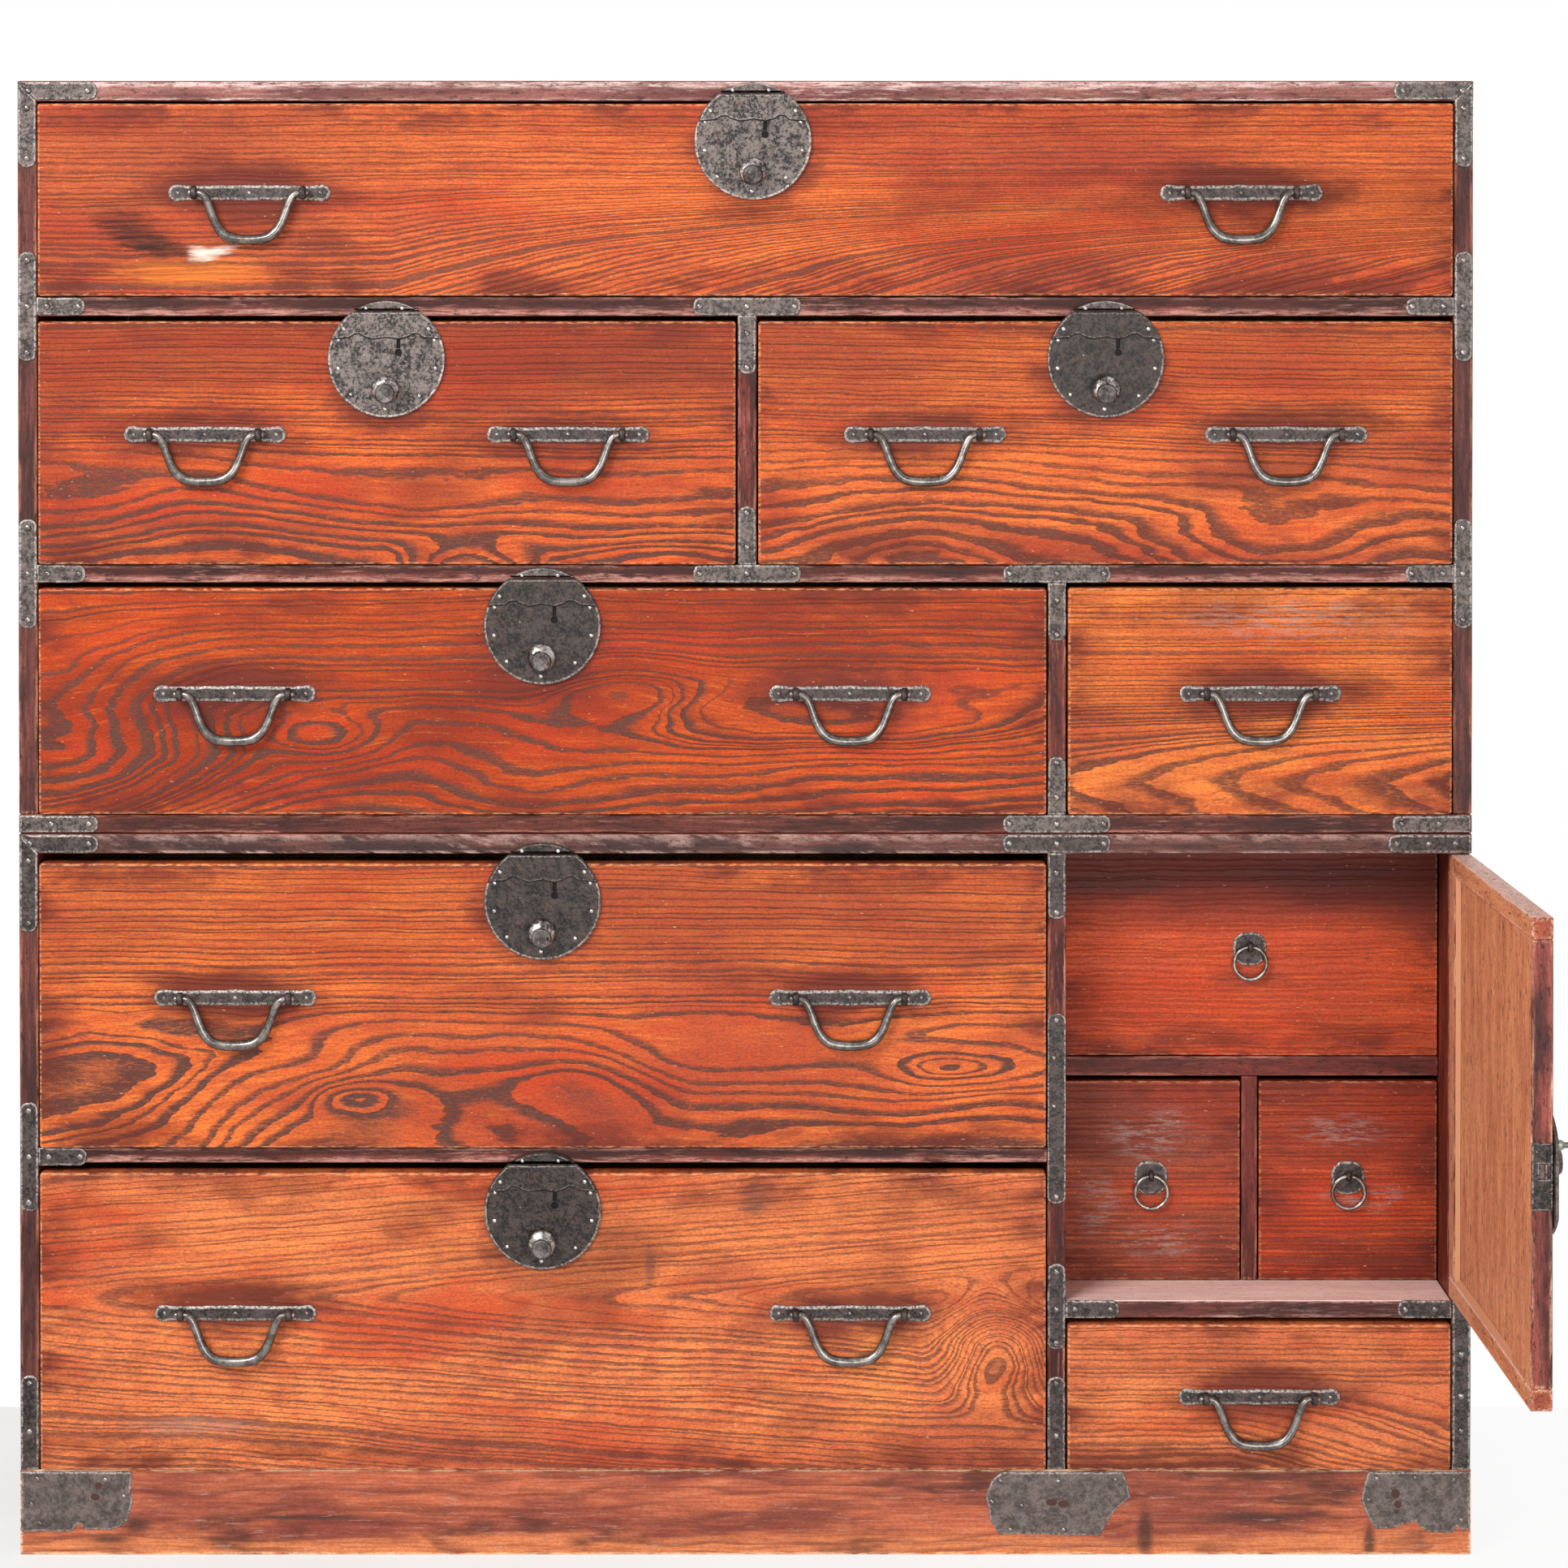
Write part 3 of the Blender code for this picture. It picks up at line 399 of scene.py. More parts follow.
def frame_finish(
    name, ground, deep, worn, streak=0.5, band_share=0.35, zones=(), *, lit=0, shade=0.0, slant=0.0, calm=0.0
):
    """Dark worn lacquer of the case's boards, rubbed through to paler wood at edges and in streaks.
    zones are (axis, side, ground, deep) faces of a board that have colours of their own. lit is
    the half of the board, 1 for upper and -1 for lower, that is paler, partly from rubbed streaks
    and partly from painted light, and shade is how much darker its other half is, a painted shade
    such as the shadow that the proud drawer fronts cast on the rails. slant is how far the streaks
    lean, and calm is how much of a broad face, the last zone, is plain lacquer over long grain."""
    f = Finish(name)
    place = f.carried("grain_place")
    half = f.carried("board_half")
    seeded = f.arrows("ADD", place, f.carried("board_seed"))
    _, across, _ = f.parts(place)
    whole = 1.0
    for axis, side, zone_ground, zone_deep in zones:
        at = f.parts(place)["XYZ".index(axis)]
        room = f.minus(f.parts(half)["XYZ".index(axis)], f.times(at, side))
        on = f.number("LESS_THAN", room, 0.0006)
        ground = f.blend(on, ground, zone_ground)
        deep = f.blend(on, deep, zone_deep)
        whole = f.minus(whole, f.times(on, 0.75))
    waves = f.clouds(seeded, (3.0, 16.0, 16.0), 2.0)
    rings = f.scaled(across, 170.0, f.times(waves, 9.0))
    band = f.curve(f.number("FRACT", rings), ((0, 0.8), (0.15, 1.0), (0.5, 0.2), (0.9, 0.0), (1, 0.8)))
    tone = f.clouds(seeded, (11.0, 60.0, 60.0), 4.0, 0.66)
    fibres = f.clouds(seeded, (40.0, 700.0, 700.0), 3.0, 0.7)
    slanted = f.moved(seeded, turn=(0, 0, slant)) if slant else seeded
    streaks = f.clouds(slanted, (42.0, 130.0 if slant else 430.0, 430.0), 4.0, 0.72)
    patches = f.clouds(seeded, (13.0, 50.0, 50.0), 4.0, 0.68)
    grit = f.clouds(seeded, grit_spots, 2.0, 0.7)
    edge = f.edge_room()
    colour = f.coat(ground, deep, tone, 0.38, 0.62)
    colour = f.blend(f.times(band, band_share), colour, deep)
    colour = f.coat(colour, deep, fibres, 0.38, 0.66, 0.6)
    bare = f.times(f.spread(streaks, 0.50, 0.62), f.spread(patches, 0.44, 0.62, 0.0, streak))
    # Painted light and shade: the lit half gets pale streaks, and the other half painted shade, such as the
    # shadow of the proud drawer fronts on a rail's upper half.
    if lit:
        share = f.number("DIVIDE", f.times(across, lit), f.parts(half)[1])
        share = f.plus(share, f.scaled(patches, 1.2, -0.6))
        painted_shade = f.spread(share, 0.25, -0.25, 0.0, shade)
        colour = f.blend(painted_shade, colour, paint(44, 24, 22))
        worn_and_lit_half = f.times(f.spread(share, 0.0, 0.7), f.spread(streaks, 0.36, 0.60, 0.0, streak))
        bare = f.most(f.times(bare, f.spread(share, -0.6, 0.3)), worn_and_lit_half)
    rubbed = f.times(f.spread(edge, 0.0006, 0.0034, 1.0, 0.0), f.spread(streaks, 0.42, 0.58))
    rubbed = f.times(rubbed, f.spread(patches, 0.38, 0.60, 0.15, 0.85))
    bare = f.most(f.times(bare, whole), rubbed)
    colour = f.blend(bare, colour, worn)
    dents = f.clouds(seeded, (110.0, 300.0, 300.0), 3.0, 0.7)
    colour = f.coat(colour, paint(40, 22, 20), dents, 0.57, 0.66, 0.7)
    colour = f.coat(colour, paint(44, 22, 18), grit, 0.35, 0.68, 0.3)
    if calm:
        wide = f.clouds(seeded, (2.4, 40.0, 34.0), 4.0, 0.62)
        fine = f.clouds(seeded, (8.0, 400.0, 300.0), 2.0, 0.6)
        plain = f.coat(zone_ground, zone_deep, wide, 0.36, 0.66)
        plain = f.coat(plain, zone_deep, fine, 0.46, 0.70, 0.5)
        colour = f.blend(f.times(on, calm), colour, plain)
    rough = f.scaled(bare, 0.2, 0.46)
    height = f.scaled(fibres, 0.4, f.times(dents, -0.6))
    return f.finished(colour, rough, height, shine=0.16)


def plinth_finish():
    """The plinth: red-brown, orange along its foot, with black stains and a wandering dark figure."""
    f = Finish("plinth_lacquer")
    place = f.carried("grain_place")
    _, across, _ = f.parts(place)
    warp = f.clouds(place, (2.6, 18.0, 6.0), 3.0, 0.6, (3.1, 0, 0))
    phase = f.scaled(across, 60.0, f.times(warp, 7.0))
    within = f.number("FRACT", phase)
    band = f.times(f.spread(within, 0.12, 0.5, 1.0, 0.0), f.spread(within, 0.0, 0.1))
    fibres = f.clouds(place, (26.0, 500.0, 400.0), 4.0, 0.7)
    tone = f.clouds(place, (5.0, 22.0, 10.0), 4.0, 0.65, (0, 4, 0))
    stains = f.clouds(place, (6.5, 20.0, 10.0), 4.0, 0.66, (7.7, 1, 0))
    grit = f.clouds(place, grit_spots, 2.0, 0.7)
    foot = f.spread(f.plus(across, f.scaled(tone, 0.03, -0.015)), -0.012, -0.024)
    colour = f.coat(paint(194, 106, 74), paint(136, 70, 58), tone, 0.38, 0.64)
    colour = f.blend(foot, colour, paint(214, 128, 82))
    colour = f.coat(colour, paint(120, 50, 38), fibres, 0.42, 0.66, 0.5)
    colour = f.coat(colour, paint(230, 150, 96), fibres, 0.44, 0.30, 0.35)
    colour = f.blend(f.times(band, 0.5), colour, paint(96, 50, 42))
    colour = f.coat(colour, paint(70, 42, 38), stains, 0.54, 0.68, 0.8)
    ragged = f.scaled(fibres, 0.6, f.times(stains, 0.6))
    for centre, reach in (
        ((-0.452, -0.010), (0.020, 0.012)),
        ((-0.330, -0.004), (0.110, 0.004)),
        ((0.296, -0.016), (0.009, 0.034)),
        ((0.462, -0.022), (0.007, 0.026)),
        ((0.380, -0.004), (0.080, 0.008)),
        ((-0.470, -0.020), (0.030, 0.006)),
    ):
        dark = f.spot_at(place, ragged, centre, reach, 0.8)
        colour = f.blend(dark, colour, paint(62, 44, 42))
    streaks = f.clouds(place, (48.0, 420.0, 300.0), 4.0, 0.7, (2, 2, 0))
    colour = f.coat(colour, paint(188, 150, 138), streaks, 0.58, 0.70, 0.5)
    edge = f.spread(f.edge_room(), 0.0005, 0.0026, 0.8, 0.0)
    colour = f.blend(f.times(edge, f.spread(streaks, 0.40, 0.55)), colour, paint(240, 200, 160))
    colour = f.coat(colour, paint(60, 26, 18), grit, 0.35, 0.68, 0.26)
    return f.finished(colour, 0.46, fibres, shine=0.13)


def iron_finish(
    name,
    dark,
    light,
    rim=None,
    speckle=0.6,
    rough=(0.34, 0.54),
    metal=0.5,
    pits=0.0009,
    rust=paint(78, 54, 44),
):
    """Hammered, mottled iron. rim is the lighter colour of edges, where a piece marks them: partly wear and
    partly a painted highlight where they catch the light.
    """
    f = Finish(name)
    place = f.object_place()
    hammer = f.clouds(place, (150, 150, 150), 3.0, 0.6)
    grain = f.clouds(place, (460, 460, 460), 3.0, 0.75, (5, 3, 1))
    fine = f.clouds(place, (1100, 1100, 1100), 2.0, 0.7)
    blotch = f.clouds(place, (110, 110, 110), 5.0, 0.78, (2, 0, 7))
    colour = f.coat(dark, light, blotch, 0.42, 0.60)
    colour = f.coat(colour, light, grain, 0.48, 0.62, speckle)
    colour = f.coat(colour, dark, grain, 0.49, 0.37, speckle)
    colour = f.coat(colour, light, fine, 0.56, 0.70, 0.35)
    rusty = f.times(f.spread(hammer, 0.52, 0.66), f.spread(grain, 0.44, 0.6))
    colour = f.blend(f.times(rusty, 0.55), colour, rust)
    # Wear and painted highlight: the marked edges are paler.
    if rim is not None:
        worn = f.carried("worn_and_lit_rim", "Fac")
        worn = f.times(worn, f.spread(grain, 0.40, 0.60, 0.1, 0.85))
        colour = f.blend(worn, colour, rim)
    # Painted shade: a marked face, the flat end of a knob, is darkened in place of the dark reflection it
    # would show, and made rougher.
    painted_shade = f.carried("painted_dark_face", "Fac")
    colour = f.blend(f.times(painted_shade, 0.75), colour, dark)
    roughness = f.plus(f.spread(blotch, 0.3, 0.7, *rough), f.times(painted_shade, 0.25))
    height = f.scaled(hammer, 1.0, f.times(grain, 0.5))
    return f.finished(colour, roughness, height, pits, metal=metal)


top_zone = ("Y", 1, paint(140, 62, 44), paint(92, 38, 30))
floor_zone = ("Y", 1, paint(255, 226, 216), paint(228, 176, 164))
face_zone = ("Z", -1, paint(122, 66, 58), paint(60, 35, 33))
outer_zone = ("Z", -1, paint(206, 82, 22), paint(136, 42, 20))
edge_zone = ("Y", -1, paint(158, 78, 66), paint(74, 38, 36))
end_zone = ("X", -1, paint(178, 92, 62), paint(140, 66, 46))
# The door rails' top face is very pale: painted light, where the light from above falls on it.
painted_light_top_zone = ("Y", 1, paint(246, 214, 200), paint(220, 170, 154))
frame_wood = frame_finish("frame_lacquer", paint(130, 56, 44), paint(62, 29, 26), paint(206, 138, 120), 0.3)
rack_wood = frame_finish("rack_lacquer", paint(122, 50, 40), paint(78, 32, 27), paint(176, 112, 100), 0.12)
sill_wood = frame_finish("sill_lacquer", paint(112, 54, 42), paint(56, 28, 25), paint(196, 130, 112), 0.35)
hole_wood = frame_finish("cut_out_wood", paint(58, 36, 30), paint(30, 20, 18), paint(120, 84, 74), 0.2)
shadow_black = frame_finish("lock_darkness", paint(12, 9, 8), paint(8, 6, 6), paint(16, 12, 11), 0.0)
bare_wood = frame_finish(
    "bare_inner_wood", paint(198, 146, 104), paint(160, 108, 72), paint(214, 172, 132), 0.3
)
bead_wood = frame_finish(
    "door_bead_wood", paint(222, 150, 108), paint(186, 116, 82), paint(240, 190, 150), 0.1
)
# The rails' darker upper half is a painted shadow of the proud drawer fronts above them, and their paler
# lower half is partly painted light.
rail_wood = frame_finish(
    "rail_lacquer", paint(128, 58, 46), paint(68, 32, 28), paint(208, 150, 136), 0.7, 0.3, lit=-1, shade=0.65
)
# The crown and the waist are paler on their upper half and a little darker below it: painted light and shade,
# with rubbed streaks.
crown_wood = frame_finish(
    "crown_lacquer", paint(166, 106, 97), paint(108, 62, 56), paint(236, 206, 198), 0.8, 0.3,
    (top_zone,), lit=1, shade=0.1, calm=0.88
)
waist_wood = frame_finish(
    "waist_lacquer", paint(128, 78, 68), paint(64, 44, 42), paint(196, 160, 150), 0.5, 0.45,
    (top_zone,), lit=1, shade=0.3, slant=0.30, calm=0.88
)
floor_wood = frame_finish(
    "compartment_floor_lacquer", paint(116, 58, 50), paint(66, 34, 31), paint(206, 168, 160), 0.22, 0.3,
    (floor_zone,), calm=0.55
)
case_wood = frame_finish(
    "case_side_lacquer", paint(142, 54, 34), paint(86, 32, 24), paint(190, 120, 94), 0.25, 0.5, (face_zone,)
)
door_wood = frame_finish(
    "door_wood", paint(232, 160, 116), paint(196, 124, 88), paint(232, 172, 142), 0.2, 0.25,
    (outer_zone, edge_zone)
)
rail_end_wood = frame_finish(
    "door_rail_wood", paint(232, 160, 116), paint(196, 124, 88), paint(236, 186, 162), 0.15, 0.25,
    (outer_zone, painted_light_top_zone, end_zone)
)
plinth_wood = plinth_finish()

# plate_iron, on the upper case's straps and lock caps, is a lighter copy of low_iron and dark_iron: painted
# light, for the light that falls from the upper left.
plate_iron = iron_finish("plate_iron", paint(38, 32, 30), paint(106, 94, 89), paint(188, 178, 172), 0.66)
low_iron = iron_finish("lower_plate_iron", paint(26, 21, 20), paint(78, 67, 64), paint(186, 174, 168))
lock_iron = iron_finish(
    "lock_plate_iron", paint(12, 9, 8), paint(112, 101, 96), paint(176, 165, 160), 0.9, (0.32, 0.52)
)
dark_iron = iron_finish(
    "dark_plate_iron", paint(12, 9, 8), paint(64, 54, 50), paint(150, 138, 132), 0.66, (0.32, 0.52)
)
base_iron = iron_finish(
    "base_plate_iron", paint(62, 53, 50), paint(108, 95, 90), paint(170, 158, 152), 0.5,
    (0.40, 0.58), 0.4, 0.0006
)
nail_iron = iron_finish(
    "nail_iron", paint(84, 77, 74), paint(150, 142, 137), None, 0.6, (0.22, 0.36), 0.8, 0.0001
)
# The lock nails are paler than nail_iron: painted glints.
glint_iron = iron_finish(
    "lock_nail_iron", paint(146, 138, 133), paint(206, 200, 194), None, 0.6, (0.18, 0.30), 0.9, 0.0001
)
handled_iron = iron_finish(
    "handled_iron", paint(88, 82, 79), paint(132, 126, 121), None, 0.16, (0.22, 0.34), 0.85, 0.0001
)
knob_iron = iron_finish(
    "knob_iron", paint(50, 43, 40), paint(190, 183, 178), None, 0.3, (0.18, 0.30), 0.88, 0.0002
)
ring_iron = iron_finish(
    "ring_iron", paint(96, 88, 84), paint(160, 153, 147), None, 0.3, (0.22, 0.34), 0.85, 0.0001
)
key_brass = iron_finish(
    "key_old_brass", paint(92, 98, 84), paint(160, 162, 144), None, 0.6,
    (0.3, 0.5), 0.75, 0.0002, paint(84, 70, 50)
)


# Making and placing pieces.


def repaint(node, finish):
    """Gives a CAD solid that shows as it is a finish."""
    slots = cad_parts[node].data.materials
    slots.clear()
    slots.append(finish)


def new_piece(name, mesh, finish, body, stands_for=()):
    """A piece that moves with a body. stands_for is the CAD solids that it is seen instead of."""
    made = bpy.data.objects.new(name, mesh)
    bpy.context.scene.collection.objects.link(made)
    mesh.materials.clear()
    mesh.materials.append(finish)
    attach(made, body)
    if stands_for:
        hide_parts(*stands_for)
    return made


def soften(piece, width):
    """Rounds the piece's edges."""
    piece.data.shade_smooth()
    step = piece.modifiers.new("soft_edges", "BEVEL")
    step.width = width
    step.segments = 2
    step.limit_method = "ANGLE"
    step.angle_limit = math.radians(35)
    step.harden_normals = True


def layer(shape, name, kind="float_vector"):
    """A value that each vertex of a bmesh carries for its finish."""
    held = getattr(shape.verts.layers, kind)
    return held.get(name) or held.new(name)


board_count = 0


def add_board(shape, low, high, along, wobble=0.0002, spin=None):
    """Adds a sawn board between two corners to a bmesh. along is its grain's axis, and the
    board carries its own measures for the finish. spin places it after that."""
    global board_count
    board_count += 1
    low, high = Vector(low), Vector(high)
    middle = (low + high) / 2
    half = (high - low) / 2
    order = {"X": (0, 2, 1), "Z": (2, 0, 1), "Y": (1, 0, 2)}[along]
    grain = layer(shape, "grain_place")
    halves = layer(shape, "board_half")
    seeds = layer(shape, "board_seed")
    verts = bmesh.ops.create_cube(shape, size=1)["verts"]
    for vert in verts:
        vert.co = Vector([m + 2 * h * c for m, h, c in zip(middle, half, vert.co)])
    axis = order[0]
    length = 2 * half[axis]
    cuts = max(0, int(length / 0.045))
    normal = [0, 0, 0]
    normal[axis] = 1
    faces = list({face for vert in verts for face in vert.link_faces})
    geometry = list(verts) + list({e for v in verts for e in v.link_edges}) + faces
    for step in range(1, cuts + 1):
        at = list(middle)
        at[axis] = low[axis] + length * step / (cuts + 1)
        split = bmesh.ops.bisect_plane(shape, geom=geometry, plane_co=at, plane_no=normal)
        geometry = split["geom"]
        verts = [item for item in geometry if isinstance(item, bmesh.types.BMVert)]
    seed = Vector((board_count * 1.37, board_count * 0.73, board_count * 2.11))
    for vert in verts:
        off = vert.co - middle
        vert[grain] = Vector([off[i] for i in order])
        vert[halves] = Vector([half[i] for i in order])
        vert[seeds] = seed
        push = noise.noise_vector(vert.co * 9 + seed)
        for i in range(3):
            if i != axis:
                vert.co[i] -= math.copysign(wobble * abs(push[i]) * 2, off[i])
    if spin is not None:
        bmesh.ops.transform(shape, matrix=spin, verts=verts)


def mesh_of(shape, name):
    mesh = bpy.data.meshes.new(name)
    bmesh.ops.recalc_face_normals(shape, faces=shape.faces)
    shape.to_mesh(mesh)
    shape.free()
    return mesh


def boards(name, places, finish, body, stands_for=(), edge=0.0011, wobble=0.0002, spin=None):
    """A piece made of (low, high, grain) boards with soft edges."""
    shape = bmesh.new()
    for low, high, along in places:
        add_board(shape, low, high, along, wobble, spin)
    soften(new_piece(name, mesh_of(shape, name), finish, body, stands_for), edge)


def board_of(node, along, finish, body):
    """A board in the place of a CAD solid."""
    low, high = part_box(node)
    boards(f"{node}_board", [(low, high, along)], finish, body, (node,))


# The two cases.


def planks(node, body, count=5, lap=0.0002):
    """A back made of upright boards side by side, each let into the next."""
    low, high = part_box(node)
    width = (high.x - low.x - lap) / count
    made = [
        ((low.x + i * width, low.y, low.z), (low.x + (i + 1) * width + lap, high.y, high.z), "Z")
        for i in range(count)
    ]
    boards(f"{node}_planks", made, bare_wood, body, (node,), wobble=0.0)


def drawer_front(name):
    """The lowest and highest corner of a drawer's front board."""
    low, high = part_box(name)
    inner = name in inner_drawers
    thickness = inner_front_thickness if inner else front_thickness
    face = front_y + 0.057 if inner else front_y - 0.005
    return Vector((low.x, face, low.z)), Vector((high.x, face + thickness, high.z))


def dress_upper_case():
    body = "upper_case"
    board_of("upper_left_side", "Z", case_wood, body)
    board_of("upper_right_side", "Z", case_wood, body)
    board_of("upper_top", "X", crown_wood, body)
    board_of("upper_base", "X", sill_wood, body)
    planks("upper_back", body)
    low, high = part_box("upper_partitions")
    middle = drawer_front("middle_left_drawer")
    right_middle = drawer_front("middle_right_drawer")
    low_left = drawer_front("low_left_drawer")
    low_right = drawer_front("low_right_drawer")
    top = drawer_front("top_drawer")
    rails = (
        (low_left[1].z + row_headroom, middle[0].z - fit_gap),
        (middle[1].z + row_headroom, top[0].z - fit_gap),
    )
    posts = (
        (middle[1].x + side_gap, right_middle[0].x - side_gap, rails[0][1], rails[1][0]),
        (low_left[1].x + side_gap, low_right[0].x - side_gap, low.z, rails[0][0]),
    )
    split = low.y + rail_depth
    fronts, uprights, backs = [], [], []
    for bottom, ceiling in rails:
        fronts.append(((low.x, low.y, bottom), (high.x, split, ceiling), "X"))
        backs.append(((low.x, split, bottom), (high.x, high.y, ceiling), "Y"))
    for left, right, bottom, ceiling in posts:
        uprights.append(((left, low.y, bottom), (right, split, ceiling), "Z"))
        backs.append(((left, split, bottom), (right, high.y, ceiling), "Z"))
    boards("upper_rails", fronts, rail_wood, body, ("upper_partitions",))
    boards("upper_posts", uprights, frame_wood, body, ("upper_partitions",))
    boards("upper_dust_boards", backs, bare_wood, body, ("upper_partitions",), edge=0.0004)
    return rails, posts


def dress_lower_case():
    body = "lower_case"
    board_of("lower_left_side", "Z", case_wood, body)
    board_of("lower_top", "X", waist_wood, body)
    board_of("plinth", "X", plinth_wood, body)
    plinth_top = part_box("plinth")[1].z - 0.0002
    face = [((-half_width, front_y - 0.0004, 0.0002), (half_width, front_y + 0.0010, plinth_top), "X")]
    boards("plinth_face", face, plinth_wood, body, edge=0.0003, wobble=0.0)
    board_of("lower_base", "X", bare_wood, body)
    planks("lower_back", body)
    low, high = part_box("lower_right_side")
    ledge = drawer_front("inner_left_drawer")[0].z - fit_gap
    rebate = front_y + 0.0150 + 0.0018
    boards(
        "lower_right_side_boards",
        [(low, (high.x, rebate, ledge), "Z"), ((low.x, rebate, low.z), high, "Z")],
        case_wood,
        body,
        ("lower_right_side",),
    )
    low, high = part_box("lower_partitions")
    deep = drawer_front("lower_deep_drawer")
    upper = drawer_front("upper_deep_drawer")
    corner = drawer_front("corner_drawer")
    post_left = deep[1].x + side_gap
    post_right = corner[0].x - side_gap
    shelf = (deep[1].z + tall_headroom, upper[0].z - fit_gap)
    floor = (corner[1].z + row_headroom, ledge)
    split = low.y + rail_depth
    rail = [((low.x, low.y, shelf[0]), (post_left, split, shelf[1]), "X")]
    ground = [((post_right, low.y, floor[0]), (high.x, high.y, floor[1]), "X")]
    upright = [((post_left, low.y, low.z), (post_right, split, high.z), "Z")]
    backs = [
        ((low.x, split, shelf[0]), (post_left, high.y, shelf[1]), "Y"),
        ((post_left, split, low.z), (post_right, high.y, high.z), "Z"),
    ]
    boards("lower_rail", rail, rail_wood, body, ("lower_partitions",))
    boards("compartment_floor", ground, floor_wood, body, ("lower_partitions",))
    boards("lower_post", upright, frame_wood, body, ("lower_partitions",))
    boards("lower_dust_boards", backs, bare_wood, body, ("lower_partitions",), edge=0.0004)
    low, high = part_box("compartment_rack")
    wide = drawer_front("inner_wide_drawer")
    left = drawer_front("inner_left_drawer")
    right = drawer_front("inner_right_drawer")
    shelf_low = left[1].z + row_headroom
    boards(
        "compartment_rails",
        [
            ((low.x, low.y, shelf_low), (high.x, high.y, wide[0].z - fit_gap), "X"),
            ((left[1].x + side_gap, low.y, low.z), (right[0].x - side_gap, high.y, shelf_low), "Z"),
        ],
        rack_wood,
        body,
        ("compartment_rack",),
    )
    return shelf, floor, (post_left, post_right)


# Wrought iron: plates, straps and nails.


def add_plate(shape, outline, thickness, place, rim=0.0007, tremble=0.0002, core=0.0013):
    """Adds a hammered plate whose outline is (x, z) points, counted against the clock as seen
    from the front. Its back lies on the plane y = 0 of place, and it grows to -Y. core is how far
    in from its edge the pale edge reaches, which is partly wear and partly a painted highlight."""
    worn = layer(shape, "worn_and_lit_rim", "float")
    points = []
    count = len(outline)
    for i, (x, z) in enumerate(outline):
        nx, nz = outline[(i + 1) % count]
        length = math.hypot(nx - x, nz - z)
        steps = max(1, int(length / 0.007))
        for k in range(steps):
            points.append(Vector((x + (nx - x) * k / steps, z + (nz - z) * k / steps)))
    middle = place.translation
    moved = []
    for p in points:
        push = noise.noise_vector(Vector((p.x + middle.x, p.y + middle.z, middle.y)) * 150)
        moved.append(p + Vector((push.x, push.y)) * tremble)
    points = moved
    count = len(points)

    def inset(reach):
        made = []
        for i, p in enumerate(points):
            before, after = points[i - 1], points[(i + 1) % count]
            tangent = (after - before).normalized()
            made.append(p + Vector((-tangent.y, tangent.x)) * reach)
        return made

    # The edge loops are marked pale, for wear and a painted highlight.
    loops = [(points, 0.0, 0.0), (points, 0.55, 0.7), (inset(rim), 1.0, 1.0)]
    if core:
        loops.append((inset(rim + core), 1.0, 0.0))
    rings = []
    for ring, depth, wear_and_highlight in loops:
        made = [shape.verts.new(place @ Vector((p.x, -thickness * depth, p.y))) for p in ring]
        for vert in made:
            vert[worn] = wear_and_highlight
        rings.append(made)
    for lower, upper in zip(rings, rings[1:]):
        for i in range(count):
            j = (i + 1) % count
            shape.faces.new((lower[i], lower[j], upper[j], upper[i]))
    shape.faces.new(rings[-1])
    shape.faces.new(list(reversed(rings[0])))


def arc(x, z, reach_x, reach_z, start, sweep, steps):
    """Points along an oval about (x, z), with both ends of the sweep."""
    turns = [start + sweep * k / steps for k in range(steps + 1)]
    return [(x + reach_x * math.cos(turn), z + reach_z * math.sin(turn)) for turn in turns]


def bar_outline(left, low, right, high, left_round=True, right_round=True):
    """A flat bar, with blunt round ends where they are asked for. When it is taller than wide, the
    ends are its low and its high one."""
    if high - low > right - left:
        lying = bar_outline(low, -right, high, -left, left_round, right_round)
        return [(-z, x) for x, z in lying]
    radius = (high - low) / 2
    centre = (high + low) / 2
    blunt = radius * 0.7
    if right_round:
        points = arc(right - blunt, centre, blunt, radius, -math.pi / 2, math.pi, 5)
    else:
        points = [(right, low), (right, high)]
    if left_round:
        points += arc(left + blunt, centre, blunt, radius, math.pi / 2, math.pi, 5)
    else:
        points += [(left, high), (left, low)]
    return points


class Ironwork:
    """The straps and nails that one body carries."""

    def __init__(self, body, finish, nail_finish):
        self.body = body
        self.finish = finish
        self.nail_finish = nail_finish
        self.shape = bmesh.new()
        self.nails = []

    def plate(self, outline, back_y, thickness=strap_thickness, tremble=0.0003, rim=0.0007, core=0.0013):
        """A plate whose back lies on the plane back_y."""
        add_plate(self.shape, outline, thickness, Matrix.Translation((0, back_y, 0)), rim, tremble, core)

    def level(self, z, left, right, left_round=True, right_round=True, width=strap_width):
        """A strap along a rail."""
        outline = bar_outline(left, z - width / 2, right, z + width / 2, left_round, right_round)
        self.plate(outline, iron_back)

    def upright(self, x, low, high, low_round=True, high_round=True):
        """A strap along a post."""
        half = strap_width / 2
        self.plate(bar_outline(x - half, low, x + half, high, low_round, high_round), iron_back)

    def nail(self, x, z, face_y=iron_face, radius=frame_nail):
        self.nails.append((Vector((x, face_y, z)), Vector((0, -1, 0)), radius))

    def done(self, name):
        mesh = mesh_of(self.shape, name)
        new_piece(name, mesh, self.finish, self.body)
        mesh.shade_smooth()
        mesh.set_sharp_from_angle(angle=math.radians(50))
        if self.nails:
            nail_heads(f"{name}_nails", self.nails, self.body, self.nail_finish)


